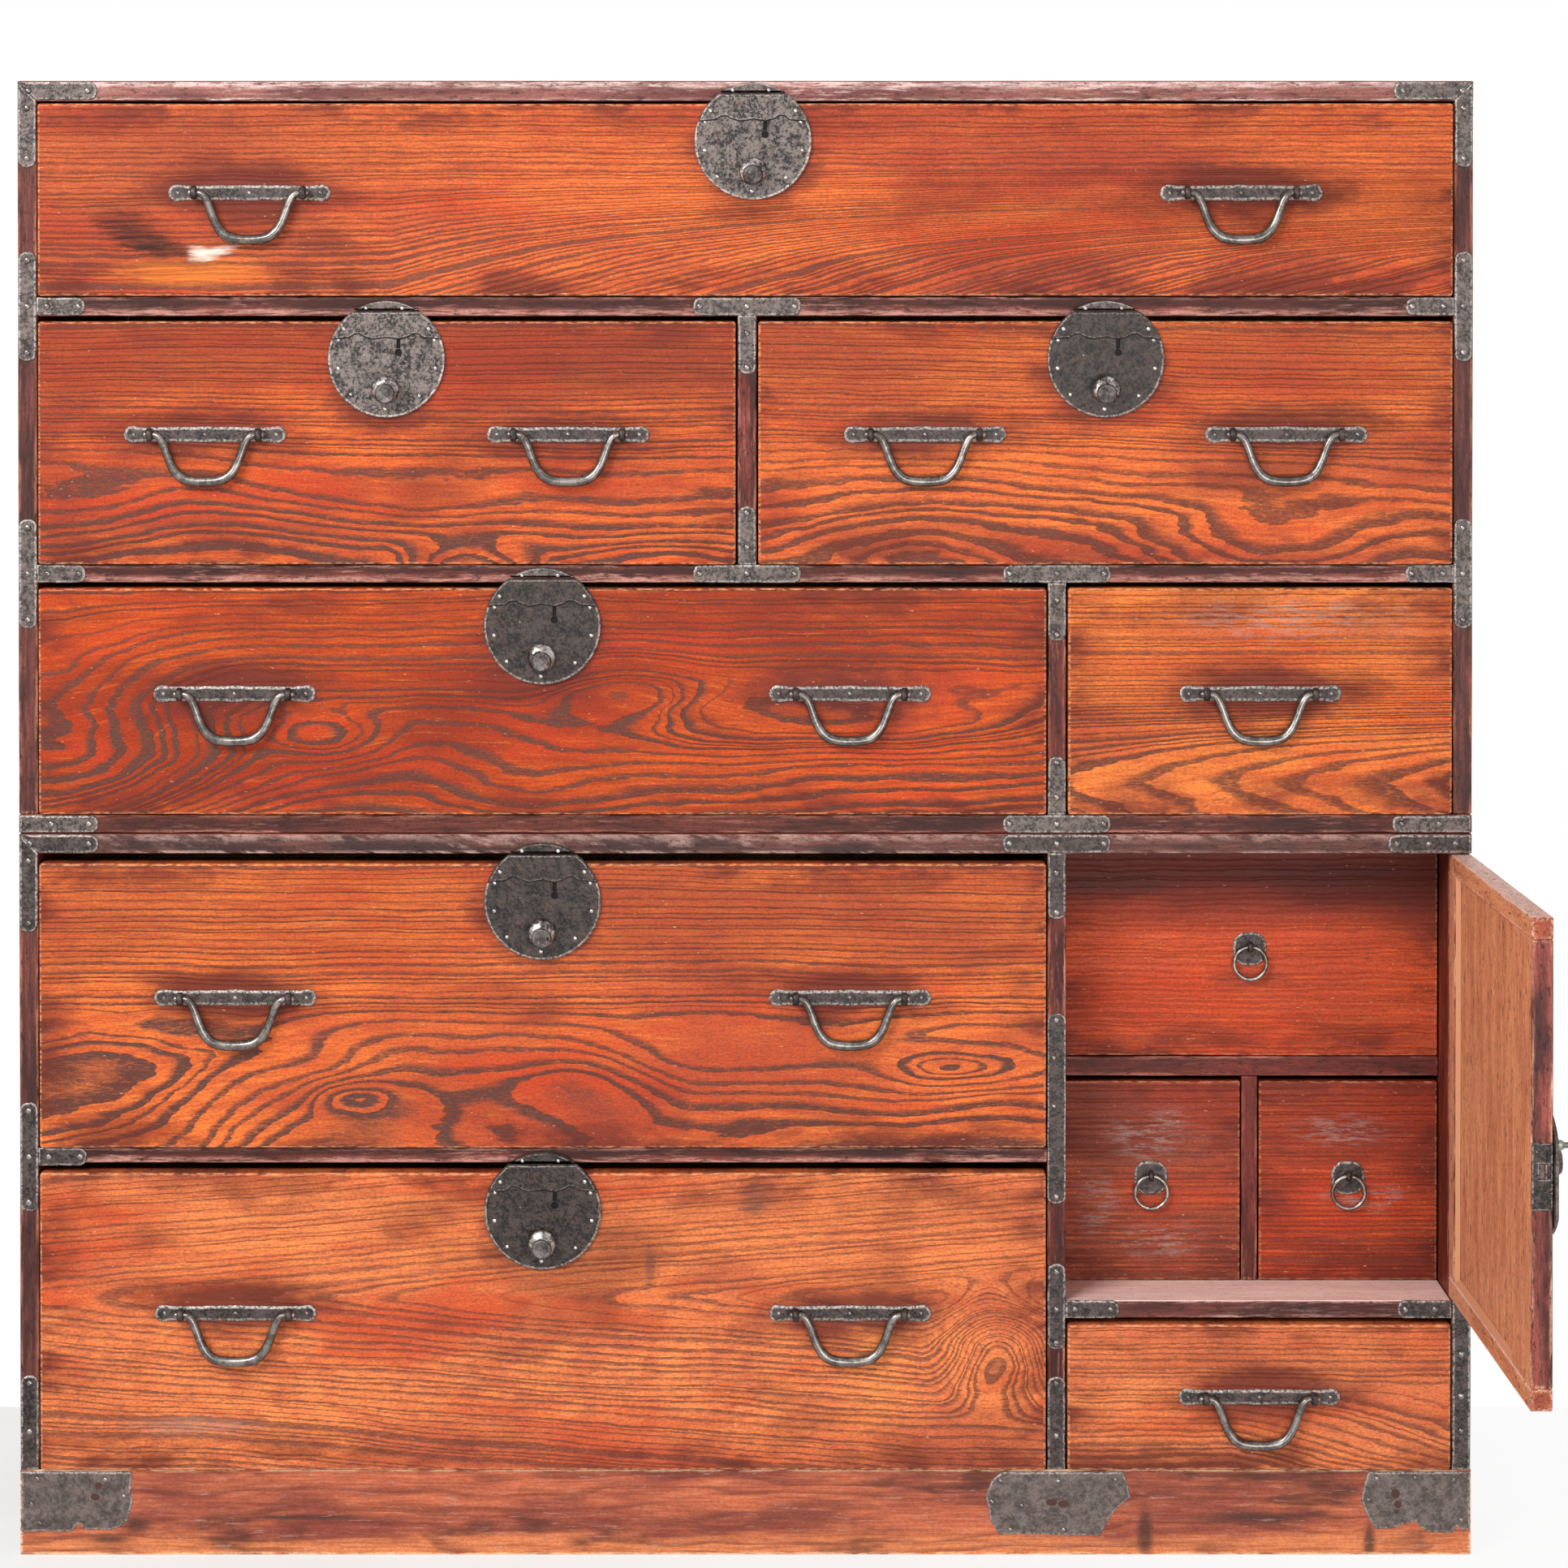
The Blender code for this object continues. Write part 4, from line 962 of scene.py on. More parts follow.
class Steps(NodeTree):
    """A geometry node tree with named inputs, which ends in plain geometry with one finish."""

    def __init__(self, name, inputs):
        super().__init__(bpy.data.node_groups.new(name, "GeometryNodeTree"))
        kinds = (("Geometry", "Geometry", None), *inputs, ("Finish", "Material", None))
        for title, kind, value in kinds:
            made = self.tree.interface.new_socket(title, in_out="INPUT", socket_type=f"NodeSocket{kind}")
            if value is not None:
                made.default_value = value
        self.tree.interface.new_socket("Geometry", in_out="OUTPUT", socket_type="NodeSocketGeometry")
        self.given = self.node("NodeGroupInput").outputs

    def carried(self, name, kind="FLOAT"):
        made = self.node("GeometryNodeInputNamedAttribute", (("Name", name),), data_type=kind)
        return made.outputs["Attribute"]

    def done(self, geometry):
        real = self.node("GeometryNodeRealizeInstances", ((0, geometry),))
        feeds = (("Geometry", real.outputs[0]), ("Material", self.given["Finish"]))
        coat = self.node("GeometryNodeSetMaterial", feeds)
        self.node("NodeGroupOutput", (("Geometry", coat.outputs[0]),))
        return self.tree


def nail_tree():
    """Sets a domed head on each point, turned to the point's facing and sized by its radius."""
    g = Steps("domed_nails", (("Dome", "Float", 0.55), ("Uneven", "Float", 0.16), ("Seed", "Int", 7)))
    ball = g.node("GeometryNodeMeshUVSphere", (("Segments", 12), ("Rings", 7)))
    smooth = g.node("GeometryNodeSetShadeSmooth", (("Geometry", ball.outputs["Mesh"]),))
    flat = g.node("ShaderNodeCombineXYZ", (("X", 1), ("Y", 1), ("Z", g.given["Dome"])))
    head = g.node("GeometryNodeTransform", (("Geometry", smooth.outputs[0]), ("Scale", flat.outputs[0])))
    facing = g.carried("facing", "FLOAT_VECTOR")
    align = g.node("FunctionNodeAlignRotationToVector", (("Vector", facing),), axis="Z")
    least = g.node("ShaderNodeMath", ((0, 1), (1, g.given["Uneven"])), operation="SUBTRACT")
    feeds = ((2, least.outputs[0]), (3, 1.0), ("Seed", g.given["Seed"]))
    chance = g.node("FunctionNodeRandomValue", feeds, data_type="FLOAT")
    feeds = ((0, chance.outputs[1]), (1, g.carried("head_radius")))
    size = g.node("ShaderNodeMath", feeds, operation="MULTIPLY")
    feeds = (
        ("Points", g.given["Geometry"]),
        ("Instance", head.outputs[0]),
        ("Rotation", align.outputs[0]),
        ("Scale", size.outputs[0]),
    )
    return g.done(g.node("GeometryNodeInstanceOnPoints", feeds).outputs[0])


def made_by(tree, source, values, name):
    """The plain mesh that a node tree makes of a source mesh."""
    holder = bpy.data.objects.new(name, source)
    bpy.context.scene.collection.objects.link(holder)
    step = holder.modifiers.new("nodes", "NODES")
    step.node_group = tree
    for item in tree.interface.items_tree:
        if item.item_type == "SOCKET" and item.in_out == "INPUT" and item.name in values:
            step[item.identifier] = values[item.name]
    graph = bpy.context.evaluated_depsgraph_get()
    mesh = bpy.data.meshes.new_from_object(holder.evaluated_get(graph))
    mesh.name = name
    bpy.data.objects.remove(holder, do_unlink=True)
    return mesh


nails_of = nail_tree()


def nail_heads(name, places, body, finish):
    source = bpy.data.meshes.new(f"{name}_points")
    source.from_pydata([p for p, _, _ in places], [], [])
    source.attributes.new("facing", "FLOAT_VECTOR", "POINT")
    source.attributes.new("head_radius", "FLOAT", "POINT")
    for i, (_, way, size) in enumerate(places):
        source.attributes["facing"].data[i].vector = way
        source.attributes["head_radius"].data[i].value = size
    new_piece(name, made_by(nails_of, source, {"Finish": finish}, name), finish, body)


def stile_iron(work, side, z):
    """A bar on a side stile with an arm along the rail. side is -1 for left and 1 for right."""
    x = side * stile_x
    work.upright(x, z - stile_bar / 2, z + stile_bar / 2)
    inner = x - side * strap_width / 2
    tip = side * (half_width - stile_arm)
    left, right = sorted((inner, tip))
    work.level(z, left + 0.0001, right - 0.0001, side > 0, side < 0)
    for rise in (0.034, 0, -0.034):
        work.nail(x, z + rise)
    for share in (0.22, 0.86):
        work.nail(inner + (tip - inner) * share, z)


def corner_iron(work, side, z, leg):
    """An L with a mitre, on a top corner of a case. z is the rail's middle."""
    half = strap_width / 2
    blunt = half * 0.75
    x = side * stile_x
    mitre = [(x + side * half, z + half), (x - side * half, z - half)]
    tip = side * (half_width - corner_arm)
    arm, post = mitre[:1], mitre[:]
    for k in range(9):
        turn = math.pi * k / 8
        reach, swing = blunt * math.sin(turn), half * math.cos(turn)
        arm.append((tip + side * (blunt - reach), z + swing))
        post.append((x - side * swing, z - half - (leg - half * 2.75 + reach)))
    arm += mitre[1:]
    for outline in (arm, post):
        area = sum(a[0] * b[1] - b[0] * a[1] for a, b in zip(outline, outline[1:] + outline[:1]))
        work.plate(outline if area > 0 else outline[::-1], iron_back)
    work.nail(x - side * 0.001, z)
    work.nail(tip + side * 0.007, z)
    work.nail(x, z - half - 0.006)
    work.nail(x, z - half - (leg - half * 3))


def divider_iron(work, x, rail_z, leg_end):
    """A T whose arms lie on a rail and whose leg runs along a divider to leg_end."""
    work.level(rail_z, x - divider_arm, x + divider_arm)
    way = 1 if leg_end > rail_z else -1
    start = rail_z + way * (strap_width / 2 + 0.0001)
    low, high = sorted((start, leg_end))
    work.upright(x, low, high, way < 0, way > 0)
    for across in (0.005 - divider_arm, 0, divider_arm - 0.005):
        work.nail(x + across, rail_z)
    work.nail(x, start + (leg_end - start) * 0.3)
    work.nail(x, leg_end - way * 0.005)


def middle_of(pair):
    return sum(pair) / 2


rails, posts = dress_upper_case()
shelf, floor_rail, post = dress_lower_case()


def dress_upper_iron():
    work = Ironwork("upper_case", plate_iron, nail_iron)
    top_z = middle_of([corner.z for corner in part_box("upper_top")])
    base_z = middle_of([corner.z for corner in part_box("upper_base")])
    rail_low, rail_high = middle_of(rails[0]), middle_of(rails[1])
    for side in (-1, 1):
        corner_iron(work, side, top_z, corner_leg)
        stile_iron(work, side, rail_low)
        stile_iron(work, side, rail_high)
        tip = side * (half_width - corner_arm)
        left, right = sorted((side * (half_width - 0.001), tip))
        work.level(base_z, left, right, side > 0, side < 0, strap_width * 0.94)
        work.nail(side * (half_width - 0.024), base_z)
        work.nail(tip + side * 0.007, base_z)
    centre_x, right_x = (middle_of(post[:2]) for post in posts)
    divider_iron(work, centre_x, rail_high, rail_high - divider_leg)
    divider_iron(work, centre_x, rail_low, rail_low + divider_leg)
    divider_iron(work, right_x, rail_low, rail_low - divider_leg)
    divider_iron(work, right_x, base_z, base_z + divider_leg)
    work.done("upper_irons")


def base_plates(top):
    """Outlines and nails of the three worn plates on the plinth."""
    left = [
        (-0.5362, 0.0174), (-0.4985, 0.0176), (-0.4956, 0.0226), (-0.4926, 0.0232), (-0.4898, 0.0190),
        (-0.4690, 0.0182), (-0.4640, 0.0200), (-0.4582, 0.0258), (-0.4560, 0.0324), (-0.4534, 0.0402),
        (-0.4550, 0.0462), (-0.4544, top), (-0.5362, top),
    ]
    centre = [
        (0.1884, 0.0152), (0.2310, 0.0150), (0.2622, 0.0140), (0.2652, 0.0190), (0.2696, 0.0276),
        (0.2768, 0.0356), (0.2850, 0.0430), (0.2828, 0.0530), (0.2796, top), (0.1896, top),
        (0.1826, 0.0556), (0.1778, 0.0440), (0.1812, 0.0252),
    ]
    right = [
        (0.4668, 0.0190), (0.4800, 0.0200), (0.4878, 0.0226), (0.4968, 0.0246), (0.5010, 0.0196),
        (0.5060, 0.0168), (0.5226, 0.0166), (0.5268, 0.0212), (0.5318, 0.0186), (0.5364, 0.0194),
        (0.5364, top), (0.4610, top), (0.4590, 0.0560), (0.4556, 0.0404), (0.4602, 0.0282),
    ]
    return (
        (left, (
            (-0.5244, 0.0566), (-0.4740, 0.0560), (-0.4602, 0.0436), (-0.5286, 0.0378), (-0.5226, 0.0234),
        )),
        (centre, (
            (0.1890, 0.0552), (0.2316, 0.0548), (0.2740, 0.0556), (0.2046, 0.0366), (0.1826, 0.0396),
            (0.1962, 0.0190), (0.2358, 0.0186),
        )),
        (right, (
            (0.4674, 0.0570), (0.4956, 0.0576), (0.5246, 0.0560), (0.4614, 0.0410), (0.5300, 0.0260),
        )),
    )


def dress_plinth_iron(plinth_top):
    """The worn plates on the plinth, with the holes that rust has left in them."""
    base = Ironwork("lower_case", base_iron, nail_iron)
    for outline, nails in base_plates(plinth_top - 0.0018):
        base.plate(outline, iron_back, tremble=0.0007)
        for x, z in nails:
            base.nail(x, z, radius=frame_nail * 0.8)
    base.done("base_irons")
    holes = bmesh.new()
    place = Matrix.Translation((0, iron_face + 0.00002, 0))
    for x, z, reach, tall in (
        (-0.479, 0.0515, 0.0026, 1.0),
        (-0.4815, 0.0432, 0.0034, 0.75),
        (0.2266, 0.0392, 0.0042, 0.6),
        (0.2352, 0.0382, 0.0040, 0.6),
        (0.4812, 0.0456, 0.0032, 1.1),
        (0.4830, 0.0378, 0.0028, 1.0),
        (0.4818, 0.0322, 0.0018, 1.0),
    ):
        ring = arc(x, z, reach, reach * tall, 0, 2 * math.pi, 14)[:-1]
        add_plate(holes, ring, 0.00012, place, 0.0001, 0.0002, 0)
    new_piece("base_plate_holes", mesh_of(holes, "base_plate_holes"), hole_wood, "lower_case")


def dress_lower_iron():
    work = Ironwork("lower_case", low_iron, nail_iron)
    half = strap_width / 2
    top_z = middle_of([corner.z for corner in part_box("lower_top")])
    floor_z, shelf_z, post_x = middle_of(floor_rail), middle_of(shelf), middle_of(post)
    plinth_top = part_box("plinth")[1].z
    corner_iron(work, -1, top_z, 0.072)
    tip = half_width - 0.062
    work.level(top_z, tip, half_width - 0.001, True, False)
    for x in (tip + 0.007, tip + 0.030, half_width - 0.012):
        work.nail(x, top_z)
    stile_iron(work, -1, shelf_z - 0.0010)
    divider_iron(work, post_x, top_z, top_z - 0.056)
    sunk = 0.00012
    bar = bar_outline(post_x - half, shelf_z - 0.036, post_x + half, shelf_z + 0.105)
    work.plate(bar, front_y + 0.0010, 0.0010 + sunk, rim=0.0001)
    for x, rise, size in ((0, 0.100, 1.0), (-0.0018, 0.072, 0.8), (-0.0018, 0.036, 0.8), (0, -0.031, 1.0)):
        work.nail(post_x + x, shelf_z + rise, front_y - sunk, frame_nail * size)
    work.upright(post_x, floor_z - 0.030, floor_z + 0.034)
    work.level(floor_z, post_x + half + 0.0001, post_x + half + 0.040, False, True)
    for x, rise in ((0, 0.028), (0, 0), (0, -0.025), (0.014, 0), (0.040, 0)):
        work.nail(post_x + x, floor_z + rise)
    stile_left = half_width - side_board
    work.level(floor_z, stile_left - 0.040, stile_left, True, False)
    for reach in (0.034, 0.012):
        work.nail(stile_left - reach, floor_z)
    work.upright(stile_x, plinth_top, floor_z + half, False, False)
    for z in (0.149, 0.118, 0.092):
        work.nail(stile_x, z)
    for x, leg, low_nail in ((-stile_x, 0.070, 0.028), (post_x, 0.069, 0.025)):
        work.upright(x, plinth_top, plinth_top + leg, False, True)
        work.nail(x, plinth_top + 0.064)
        work.nail(x, plinth_top + low_nail)
    dress_plinth_iron(plinth_top)
    work.done("lower_irons")


dress_upper_iron()
dress_lower_iron()


# Handles.


def tube_tree():
    """Makes a round bar along a line whose points carry their own thickness."""
    g = Steps("round_bar", (("Sides", "Int", 14), ("Lengths", "Int", 72)))
    line = g.node("GeometryNodeMeshToCurve", (("Mesh", g.given["Geometry"]),))
    kind = g.node("GeometryNodeCurveSplineType", ((0, line.outputs[0]),), spline_type="CATMULL_ROM")
    feeds = (("Curve", kind.outputs[0]), ("Count", g.given["Lengths"]))
    even = g.node("GeometryNodeResampleCurve", feeds, mode="COUNT")
    ring = g.node("GeometryNodeCurvePrimitiveCircle", (("Radius", 1), ("Resolution", g.given["Sides"])))
    feeds = (
        ("Curve", even.outputs[0]),
        ("Profile Curve", ring.outputs["Curve"]),
        ("Scale", g.carried("thickness")),
        ("Fill Caps", True),
    )
    skin = g.node("GeometryNodeCurveToMesh", feeds)
    smooth = g.node("GeometryNodeSetShadeSmooth", (("Geometry", skin.outputs[0]),))
    return g.done(smooth.outputs[0])


tubes_of = tube_tree()


def round_bar(name, points, finish, sides, lengths):
    """A round bar through (place, radius) points."""
    source = bpy.data.meshes.new(f"{name}_line")
    source.from_pydata([p for p, _ in points], [(i, i + 1) for i in range(len(points) - 1)], [])
    size = source.attributes.new("thickness", "FLOAT", "POINT")
    for i, (_, radius) in enumerate(points):
        size.data[i].value = radius
    return made_by(tubes_of, source, {"Finish": finish, "Sides": sides, "Lengths": lengths}, name)


def bail(node):
    """A drop handle through the eyes of its plate, thicker at the grip, with knobbed ends."""
    low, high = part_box(node)
    centre = Vector(((low.x + high.x) / 2, 0, high.z - 0.0022))
    centre.y = drawer_face(node) - bail_standoff
    half = [
        (0.0452, 0.0000, 0.0006),
        (0.0450, 0.0000, 0.0024),
        (0.0436, 0.0000, 0.0027),
        (0.0424, 0.0000, 0.0022),
        (0.0384, 0.0000, 0.0022),
        (0.0360, -0.0002, 0.0025),
        (0.0338, -0.0012, 0.0028),
        (0.0317, -0.0036, 0.0030),
        (0.0299, -0.0072, 0.0031),
        (0.0283, -0.0114, 0.0031),
        (0.0267, -0.0160, 0.0032),
        (0.0248, -0.0208, 0.0033),
        (0.0223, -0.0256, 0.0035),
        (0.0188, -0.0298, 0.0037),
        (0.0144, -0.0327, 0.0038),
        (0.0092, -0.0340, 0.0038),
        (0.0044, -0.0345, 0.0038),
        (0.0000, -0.0346, 0.0038),
    ]
    points = [(centre + Vector((x, 0, z)), r) for x, z, r in half]
    points += [(centre + Vector((-x, 0, z)), r) for x, z, r in reversed(half[:-1])]
    mesh = round_bar(f"{node}_wrought", points, handled_iron, 12, 84)
    new_piece(f"{node}_wrought", mesh, handled_iron, node, (node,))


def drawer_face(name):
    """The front plane of the drawer that a named part belongs to."""
    owner = name.split("_drawer")[0] + "_drawer"
    return drawer_front(owner)[0].y


def turned(shape, profile, sides, place, shaded_from=None):
    """Adds a turned shape of (radius, height) points, which grows to -Y from place. A third
    value lifts a point's ring. Its points from shaded_from on are marked for painted shade."""
    painted_shade = layer(shape, "painted_dark_face", "float")
    rings = []
    for at, (radius, height, *lift) in enumerate(profile):
        up = lift[0] if lift else 0.0
        turns = [2 * math.pi * k / sides for k in range(sides)] if radius else [0]
        ring = []
        for turn in turns:
            spot = Vector((radius * math.cos(turn), -height, radius * math.sin(turn) + up))
            vert = shape.verts.new(place @ spot)
            vert[painted_shade] = 1.0 if shaded_from is not None and at >= shaded_from else 0.0
            ring.append(vert)
        rings.append(ring)
    for lower, upper in zip(rings, rings[1:]):
        for k in range(sides):
            j = (k + 1) % sides
            if len(lower) == 1:
                shape.faces.new((lower[0], upper[j], upper[k]))
            elif len(upper) == 1:
                shape.faces.new((lower[k], lower[j], upper[0]))
            else:
                shape.faces.new((lower[k], lower[j], upper[j], upper[k]))


def eye(shape, x, y, z, radius=eye_radius, width=eye_width):
    """A forged eye about x on a plate: a short round lug across the end of a bail or ring."""
    turn = Matrix.Translation((x - width / 2, y, z)) @ Matrix.Rotation(math.pi / 2, 4, "Z")
    soft = width * 0.28
    profile = [
        (0, 0), (radius * 0.62, 0), (radius * 0.92, soft * 0.4), (radius, soft),
        (radius, width - soft), (radius * 0.92, width - soft * 0.4), (radius * 0.62, width), (0, width),
    ]
    turned(shape, profile, 16, turn)


def handle_outline(x, z):
    """A bar plate with round ends that swell a little past its waist."""
    reach = plate_length / 2
    half = plate_height / 2
    cap = half * 0.98
    upper = arc(reach - cap, 0, cap, half, 0, math.pi / 2, 8)
    for share in (0.80, 0.70, 0.55, 0.35, 0.15):
        waist = 0.84 if share in (0.70, 0.55) else 0.88
        upper.append((reach * share, half * waist))
    right = upper + [(0, half * 0.96)]
    left = [(-px, pz) for px, pz in reversed(upper)]
    top = right + left
    bottom = [(px, -pz) for px, pz in reversed(top[1:-1])]
    return [(x + px, z + pz) for px, pz in top + bottom]


# Locks.


def rim_outline(x, z, radius, chord, width, steps=56):
    """A narrow band along the edge of a disc that is cut along a chord above its middle."""
    start = math.pi - math.asin(chord / radius)
    sweep = math.pi + 2 * math.asin(chord / radius)
    inner = radius - width
    outer = arc(x, z, radius, radius, start, sweep, steps)
    return outer + arc(x, z, inner, inner, start, sweep, steps)[::-1]


def cap_outline(x, z, radius, chord, steps=16):
    """The part of a disc above a chord."""
    start = math.asin(chord / radius)
    return arc(x, z, radius, radius, start, math.pi - 2 * start, steps)


def band_outline(x, z, radius, chord):
    """The band that overlies a lock's upper part: two lobes and ears along its lower edge."""
    inner = radius * 0.985
    top = math.asin((chord - 0.0006) / inner)
    low = math.asin(0.0150 / inner)
    upper = arc(0, 0, inner, inner, low, top - low, 8)
    upper += [(-px, pz) for px, pz in reversed(upper)]
    half = [
        (0.0330, 0.0156), (0.0270, 0.0160), (0.0235, 0.0188), (0.0195, 0.0190), (0.0155, 0.0166),
        (0.0100, 0.0150), (0.0050, 0.0156),
    ]
    lower = [(-px, pz) for px, pz in half] + [(0, 0.0164)] + half[::-1]
    return [(x + px, z + pz) for px, pz in upper + lower]


def dress_lock(name, finish, irons, rail_irons):
    """One drawer lock: its plate, band, push button and the cap on the rail above."""
    low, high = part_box(f"{name}_lock_plate")
    x, z = (low.x + high.x) / 2, low.z + lock_radius
    face, back = low.y, high.y
    repaint(f"{name}_lock_plate", finish)
    band = 0.0015
    lobes = band_outline(x, z, lock_radius, lock_chord)
    irons.plate(lobes, face + 0.0001, band, rim=0.0006, core=0.0007)
    rim = rim_outline(x, z, lock_radius - 0.0001, 0.0140, 0.0016)
    irons.plate(rim, face + 0.0001, 0.0004, tremble=0.0001, rim=0.0005, core=0)
    for across, rise, out, size in (
        (-0.0355, -0.0068, face, 1.0),
        (0.0362, -0.0068, face, 1.0),
        (-0.0262, -0.0260, face, 1.0),
        (0.0242, -0.0270, face, 1.0),
        (-0.0010, -0.0368, face, 1.0),
        (-0.0165, 0.0030, face + 0.0006, 0.8),
        (0.0090, 0.0044, back + 0.0012, 0.9),
        (-0.0312, 0.0222, face - band, 1.0),
        (-0.0352, 0.0138, face, 1.0),
        (0.0312, 0.0222, face - band, 1.0),
        (0.0352, 0.0138, face, 1.0),
    ):
        irons.nail(x + across, z + rise, out, plate_nail * size)
    # Painted shade: a black sheet behind the keyhole, and a black copy of the band set a little lower, as a
    # painted shadow under its edge.
    shade = bmesh.new()
    keyhole = bar_outline(x + 0.0052, z + 0.0006, x + 0.0128, z + 0.0200)
    add_plate(shade, keyhole, 0.0002, Matrix.Translation((0, back + 0.00025, 0)), 0.00002, 0.0, 0)
    under = Matrix.Translation((0, face + 0.0001, -0.0008))
    add_plate(shade, band_outline(x, z, lock_radius - 0.0008, lock_chord), 0.0003, under, 0.0001, 0.0002, 0)
    new_piece(f"{name}_lock_darkness", mesh_of(shade, f"{name}_lock_darkness"), shadow_black, name)
    cap = cap_outline(x, z + 0.0006, lock_radius - 0.0006, lock_chord + 0.0004)
    rail_irons.plate(cap, iron_back, front_y - face, rim=0.0006, tremble=0.0001, core=0.0008)
    for across in (-0.0150, 0.0116):
        rail_irons.nail(x + across, z + 0.0375, face, plate_nail)
    shape = bmesh.new()
    place = Matrix.Translation((x, back - lock_thickness, z - button_drop))
    # The knob's flat end, from its twelfth ring on, gets painted shade.
    turned(shape, button_profile(), 36, place, 11)
    mesh = mesh_of(shape, f"{name}_lock_knob")
    mesh.shade_smooth()
    new_piece(f"{name}_lock_knob", mesh, knob_iron, f"{name}_lock_button", (f"{name}_lock_button",))
    irons.done(f"{name}_lock_irons")


def button_profile():
    """A round push button: a neck, a bulb set a little high and a smaller flat face set a little
    low, from its tail in the drawer."""
    return [
        (0, -0.0040),
        (0.0062, -0.0040),
        (0.0064, 0.0044, 0.0002),
        (0.0084, 0.0048, 0.0008),
        (0.0097, 0.0055, 0.0014),
        (0.0103, 0.0066, 0.0017),
        (0.0103, 0.0078, 0.0016),
        (0.0098, 0.0090, 0.0011),
        (0.0089, 0.0100, 0.0003),
        (0.0079, 0.0108, -0.0005),
        (0.0072, 0.0112, -0.0010),
        (0.0071, 0.0127, -0.0013),
        (0.0068, 0.0133, -0.0014),
        (0.0060, 0.0135, -0.0014),
        (0.0050, 0.0131, -0.0014),
        (0, 0.0130, -0.0014),
    ]


# Drawers.


dark_locks = ("middle_right_drawer", "low_left_drawer", "upper_deep_drawer", "lower_deep_drawer")
# The upper case's caps are in the lighter plate_iron: painted light from above.
lock_caps = {
    "upper_case": Ironwork("upper_case", plate_iron, glint_iron),
    "lower_case": Ironwork("lower_case", dark_iron, glint_iron),
}


def bails_of(name):
    """The names of a drawer's bails."""
    names = [f"{name}{side}_bail" for side in ("_left", "_right", "")]
    return [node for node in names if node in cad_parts]


def ring_pull(name, irons, face):
    """A small ring on a square plate with clipped corners."""
    node = f"{name}_ring"
    low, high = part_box(node)
    wire, ring_radius = 0.0013, 0.0122
    x, z = (low.x + high.x) / 2, high.z - wire - 0.0020
    half = 0.0124
    plate = []
    for k in range(24):
        turn = 2 * math.pi * k / 24
        square = 1 / max(abs(math.cos(turn)), abs(math.sin(turn)))
        reach = half * min(square, 1.10)
        plate.append((x + reach * math.cos(turn), z + reach * math.sin(turn)))
    irons.plate(plate, face + 0.0002, 0.0014, rim=0.0008, tremble=0.0004)
    pivot_y = face - 0.0048
    eye(irons.shape, x, pivot_y, z + 0.0020, 0.0040, 0.0040)
    for across in (-0.0088, 0.0088):
        for rise in (-0.0088, 0.0088):
            irons.nail(x + across, z + rise, face - 0.0012, 0.0012)
    centre = Vector((x, pivot_y, high.z - wire - ring_radius))
    circle = arc(0, 0, ring_radius, ring_radius, math.pi / 2, 2 * math.pi, 48)
    points = [(centre + Vector((px, 0, pz)), 0.0015) for px, pz in circle]
    mesh = round_bar(f"{node}_wrought", points, ring_iron, 10, 64)
    new_piece(f"{node}_wrought", mesh, ring_iron, node, (node,))


def bail_handle(node, irons, face):
    """A bar plate with its eyes and nails, and the bail that hangs in the eyes."""
    low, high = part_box(node)
    x, z = (low.x + high.x) / 2, high.z - 0.0022
    irons.plate(handle_outline(x, z), face + 0.0002, plate_thickness + 0.0003, rim=0.0012)
    for way in (-1, 1):
        eye(irons.shape, x + way * eye_spacing / 2, face - bail_standoff, z)
        irons.nail(x + way * 0.0525, z, face - plate_thickness, plate_nail)
    irons.nail(x, z, face - plate_thickness, plate_nail * 1.2)
    bail(node)


def dress_drawer(name, wood):
    low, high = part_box(name)
    front_low, front_high = drawer_front(name)
    inner = name in inner_drawers
    soft = 0.0012 if inner else 0.0022
    board = [(front_low, front_high, "X")]
    boards(f"{name}_face_board", board, wood, name, (name,), edge=soft, wobble=0.0003)
    left, right = low.x + tray_inset, high.x - tray_inset
    front, back = front_high.y - 0.0005, high.y
    bottom, top = low.z, high.z - tray_top_drop
    tray = [
        ((left, front, bottom), (left + tray_side, back, top), "Y"),
        ((right - tray_side, front, bottom), (right, back, top), "Y"),
        ((left + tray_side, back - tray_side, bottom), (right - tray_side, back, top), "X"),
        ((left + tray_side, front, bottom), (right - tray_side, back - tray_side, bottom + tray_bottom), "X"),
    ]
    boards(f"{name}_tray", tray, bare_wood, name, (name,), edge=0.0006)
    irons = Ironwork(name, low_iron, nail_iron)
    if inner:
        ring_pull(name, irons, front_low.y)
    for node in bails_of(name):
        bail_handle(node, irons, front_low.y)
    if name in locked_drawers:
        case = "upper_case" if low.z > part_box("lower_top")[0].z else "lower_case"
        iron = dark_iron if name in dark_locks else lock_iron
        dress_lock(name, iron, Ironwork(name, iron, glint_iron), lock_caps[case])
    irons.done(f"{name}_irons")


def hands(name):
    """Places on a drawer's front that hands have darkened: about its handles and its lock."""
    low, high = drawer_front(name)
    centre = (low + high) / 2
    places = []
    for node in bails_of(name):
        a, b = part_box(node)
        places.append((((a.x + b.x) / 2 - centre.x, b.z - centre.z), (0.100, 0.030)))
    if name in locked_drawers:
        a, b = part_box(f"{name}_lock_plate")
        places.append((((a.x + b.x) / 2 - centre.x, (a.z + b.z) / 2 - centre.z - 0.01), (0.065, 0.050)))
    return places


